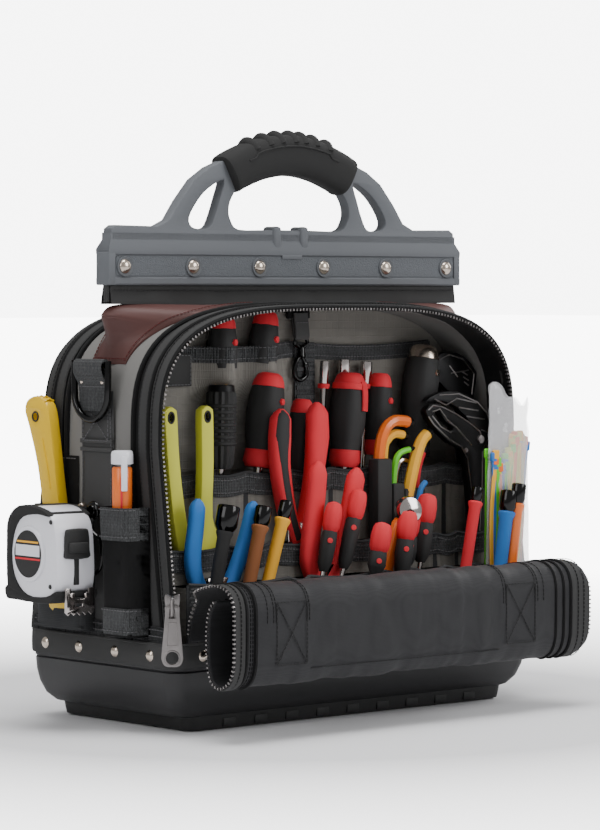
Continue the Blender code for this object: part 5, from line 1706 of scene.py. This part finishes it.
CAMERA_PLACE = (-1.70227, -1.94319, 0.31396)
CAMERA_DOWN = 2.08095
CAMERA_TURN = -41.4587
WORLD_POWER = 0.45
BACKDROP_GLOW = 9
FLOOR_FADE = (0.3, 1.3)          # metres from the middle between which the floor turns into the backdrop
LIGHTS = (("Left window", (-2.4, -0.3, 1.3), (1, 1.6), 17), ("Front window", (1.2, -2.3, 1.3), (1.2, 1.4),
    34), ("Right window", (2.4, 0.2, 1.2), (1, 1.4), 20), ("Overhead", (-0.2, -0.2, 2.4), (1.4, 1.2), 48),)


def mix_surface(tree, factor, first, second, output):
    """Mix two shaders into an output."""
    mixed = new_node(tree, "MixShader")
    for socket, source in zip(mixed.inputs, (factor, first.outputs[0], second.outputs[0])):
        tree.links.new(source, socket)
    tree.links.new(mixed.outputs[0], tree.nodes[output].inputs["Surface"])


def build_stage():
    """The camera, the pale floor and the soft studio lights."""
    stage = bpy.context.scene.pouch_stage
    camera = bpy.data.cameras.new("Camera")
    camera.lens = stage.lens
    camera.sensor_width = 36
    camera.clip_end = 50
    holder = show("Camera", camera)
    holder.location = CAMERA_PLACE
    holder.rotation_euler = (radians(90 - CAMERA_DOWN), 0, radians(CAMERA_TURN))
    bpy.context.scene.camera = holder

    bm = bmesh.new()
    bmesh.ops.create_grid(bm, x_segments=1, y_segments=1, size=30)
    bmesh.ops.translate(bm, verts=bm.verts, vec=(0, 0, -0.0006))
    mesh = bpy.data.meshes.new("studio_floor")
    bm.to_mesh(mesh)
    bm.free()
    material = bpy.data.materials.new("studio_floor")
    material.use_nodes = True
    tree = material.node_tree
    shader = tree.nodes["Principled BSDF"]
    tone = blend_colour(tree, grain_noise(tree, 400, 2), shade(stage.floor, 0.99), shade(stage.floor, 1.01))
    tree.links.new(tone, shader.inputs["Base Color"])
    shader.inputs["Roughness"].default_value = 0.85
    spread = new_node(tree, "VectorMath")
    spread.operation = "LENGTH"
    tree.links.new(stretched(tree, (1, 1, 1)), spread.inputs[0])
    glow = new_node(tree, "Emission")
    glow.inputs["Strength"].default_value = BACKDROP_GLOW
    far = step_range(tree, spread.outputs["Value"], *FLOOR_FADE)
    seen = new_node(tree, "LightPath").outputs["Is Camera Ray"]
    mix_surface(tree, combine(tree, "MULTIPLY", far, seen), shader, glow, "Material Output")
    mesh.materials.append(material)
    floor = show("studio_floor", mesh)

    world = bpy.data.worlds.new("studio")
    world.use_nodes = True
    tree = world.node_tree
    soft = tree.nodes["Background"]
    soft.inputs["Color"].default_value = (1, 1, 1, 1)
    soft.inputs["Strength"].default_value = WORLD_POWER
    bright = new_node(tree, "Background")
    bright.inputs["Strength"].default_value = BACKDROP_GLOW
    mix_surface(tree, new_node(tree, "LightPath").outputs["Is Camera Ray"], soft, bright, "World Output")
    bpy.context.scene.world = world
    for name, place, size, power in LIGHTS:
        lamp = bpy.data.lights.new(name, "AREA")
        lamp.shape = "RECTANGLE"
        lamp.size, lamp.size_y = size
        lamp.energy = power * stage.power
        light = show(name, lamp)
        light.location = place
        aim = (xyz(0, 0, 0.2) - Vector(place)).to_track_quat("-Z", "Y")
        light.rotation_euler = aim.to_euler()


# ---- add-on


def run_steps(*steps):
    """Run the building steps of one operator."""
    for step in steps:
        step()
    return {"FINISHED"}


class POUCH_OT_stage(bpy.types.Operator):
    """Set the camera, the pale floor and the soft lights."""

    bl_idname = "pouch.stage"
    bl_label = "Stage and Camera"

    def execute(self, context):
        return run_steps(build_stage)


class POUCH_OT_handle(bpy.types.Operator):
    """Build the handle frame, its rivets and the rubber grip."""

    bl_idname = "pouch.handle"
    bl_label = "Handle"

    def execute(self, context):
        return run_steps(build_handle, build_grip)


class POUCH_OT_body(bpy.types.Operator):
    """Build the gussets, zip bands, leather patches and inner wall."""

    bl_idname = "pouch.body"
    bl_label = "Cloth Body"

    def execute(self, context):
        return run_steps(build_body)


class POUCH_OT_base(bpy.types.Operator):
    """Build the tray, its foot and the riveted band."""

    bl_idname = "pouch.base"
    bl_label = "Moulded Base"

    def execute(self, context):
        return run_steps(build_base)


class POUCH_OT_doors(bpy.types.Operator):
    """Build the rolled front door and the closed rear door."""

    bl_idname = "pouch.doors"
    bl_label = "Doors"

    def execute(self, context):
        return run_steps(build_front_door, build_rear_door)


class POUCH_OT_sides(bpy.types.Operator):
    """Build the straps, rings, side pockets and zip pulls."""

    bl_idname = "pouch.sides"
    bl_label = "Side Fittings"

    def execute(self, context):
        return run_steps(build_straps, build_side_pockets, build_zip_pulls)


class POUCH_OT_pockets(bpy.types.Operator):
    """Build the stepped pocket rows, wall pocket, label and key hook."""

    bl_idname = "pouch.pockets"
    bl_label = "Tool Pockets"

    def execute(self, context):
        return run_steps(build_pocket_rows, build_wall_fittings)


class POUCH_OT_drivers(bpy.types.Operator):
    """Build the screwdrivers, nut drivers and bits."""

    bl_idname = "pouch.drivers"
    bl_label = "Drivers"

    def execute(self, context):
        return run_steps(build_drivers, build_nut_drivers)


class POUCH_OT_pliers(bpy.types.Operator):
    """Build the strippers, pliers, cutters and wrenches."""

    bl_idname = "pouch.pliers"
    bl_label = "Pliers"

    def execute(self, context):
        return run_steps(build_pliers)


class POUCH_OT_small_tools(bpy.types.Operator):
    """Build the hex keys, cable ties, tape measure, marker and knife."""

    bl_idname = "pouch.small_tools"
    bl_label = "Small Tools"

    def execute(self, context):
        return run_steps(build_hex_keys, build_tie_bag, build_tape_measure, build_side_tools)


class VIEW3D_PT_pouch(bpy.types.Panel):
    """The steps that build the tool pouch."""

    bl_label = "Tool Pouch"
    bl_space_type = "VIEW_3D"
    bl_region_type = "UI"
    bl_category = "Pouch"

    def draw(self, context):
        """Lists the steps and the settings."""
        column = self.layout.column(align=True)
        for step in STEPS:
            column.operator(step.bl_idname)
        for settings in (context.scene.pouch_sizes, context.scene.pouch_stage, context.scene.pouch_colours):
            for name in settings.__annotations__:
                self.layout.prop(settings, name)


STEPS = (POUCH_OT_stage, POUCH_OT_handle, POUCH_OT_body, POUCH_OT_base, POUCH_OT_doors, POUCH_OT_sides,
    POUCH_OT_pockets, POUCH_OT_drivers, POUCH_OT_pliers, POUCH_OT_small_tools)
GROUPS = (("pouch_colours", PouchColours), ("pouch_sizes", PouchSizes), ("pouch_stage", PouchStage))


def register():
    """Make the settings, the steps and the panel known to Blender."""
    for name, group in GROUPS:
        bpy.utils.register_class(group)
        setattr(bpy.types.Scene, name, bpy.props.PointerProperty(type=group))
    for step in STEPS:
        bpy.utils.register_class(step)
    bpy.utils.register_class(VIEW3D_PT_pouch)


def unregister():
    """Take them away again."""
    bpy.utils.unregister_class(VIEW3D_PT_pouch)
    for step in reversed(STEPS):
        bpy.utils.unregister_class(step)
    for name, group in reversed(GROUPS):
        delattr(bpy.types.Scene, name)
        bpy.utils.unregister_class(group)


def main():
    """Build everything in order."""
    register()
    for step in STEPS:
        group, name = step.bl_idname.split(".")
        getattr(getattr(bpy.ops, group), name)()
    bpy.context.view_layer.update()


if __name__ == "__main__":
    main()
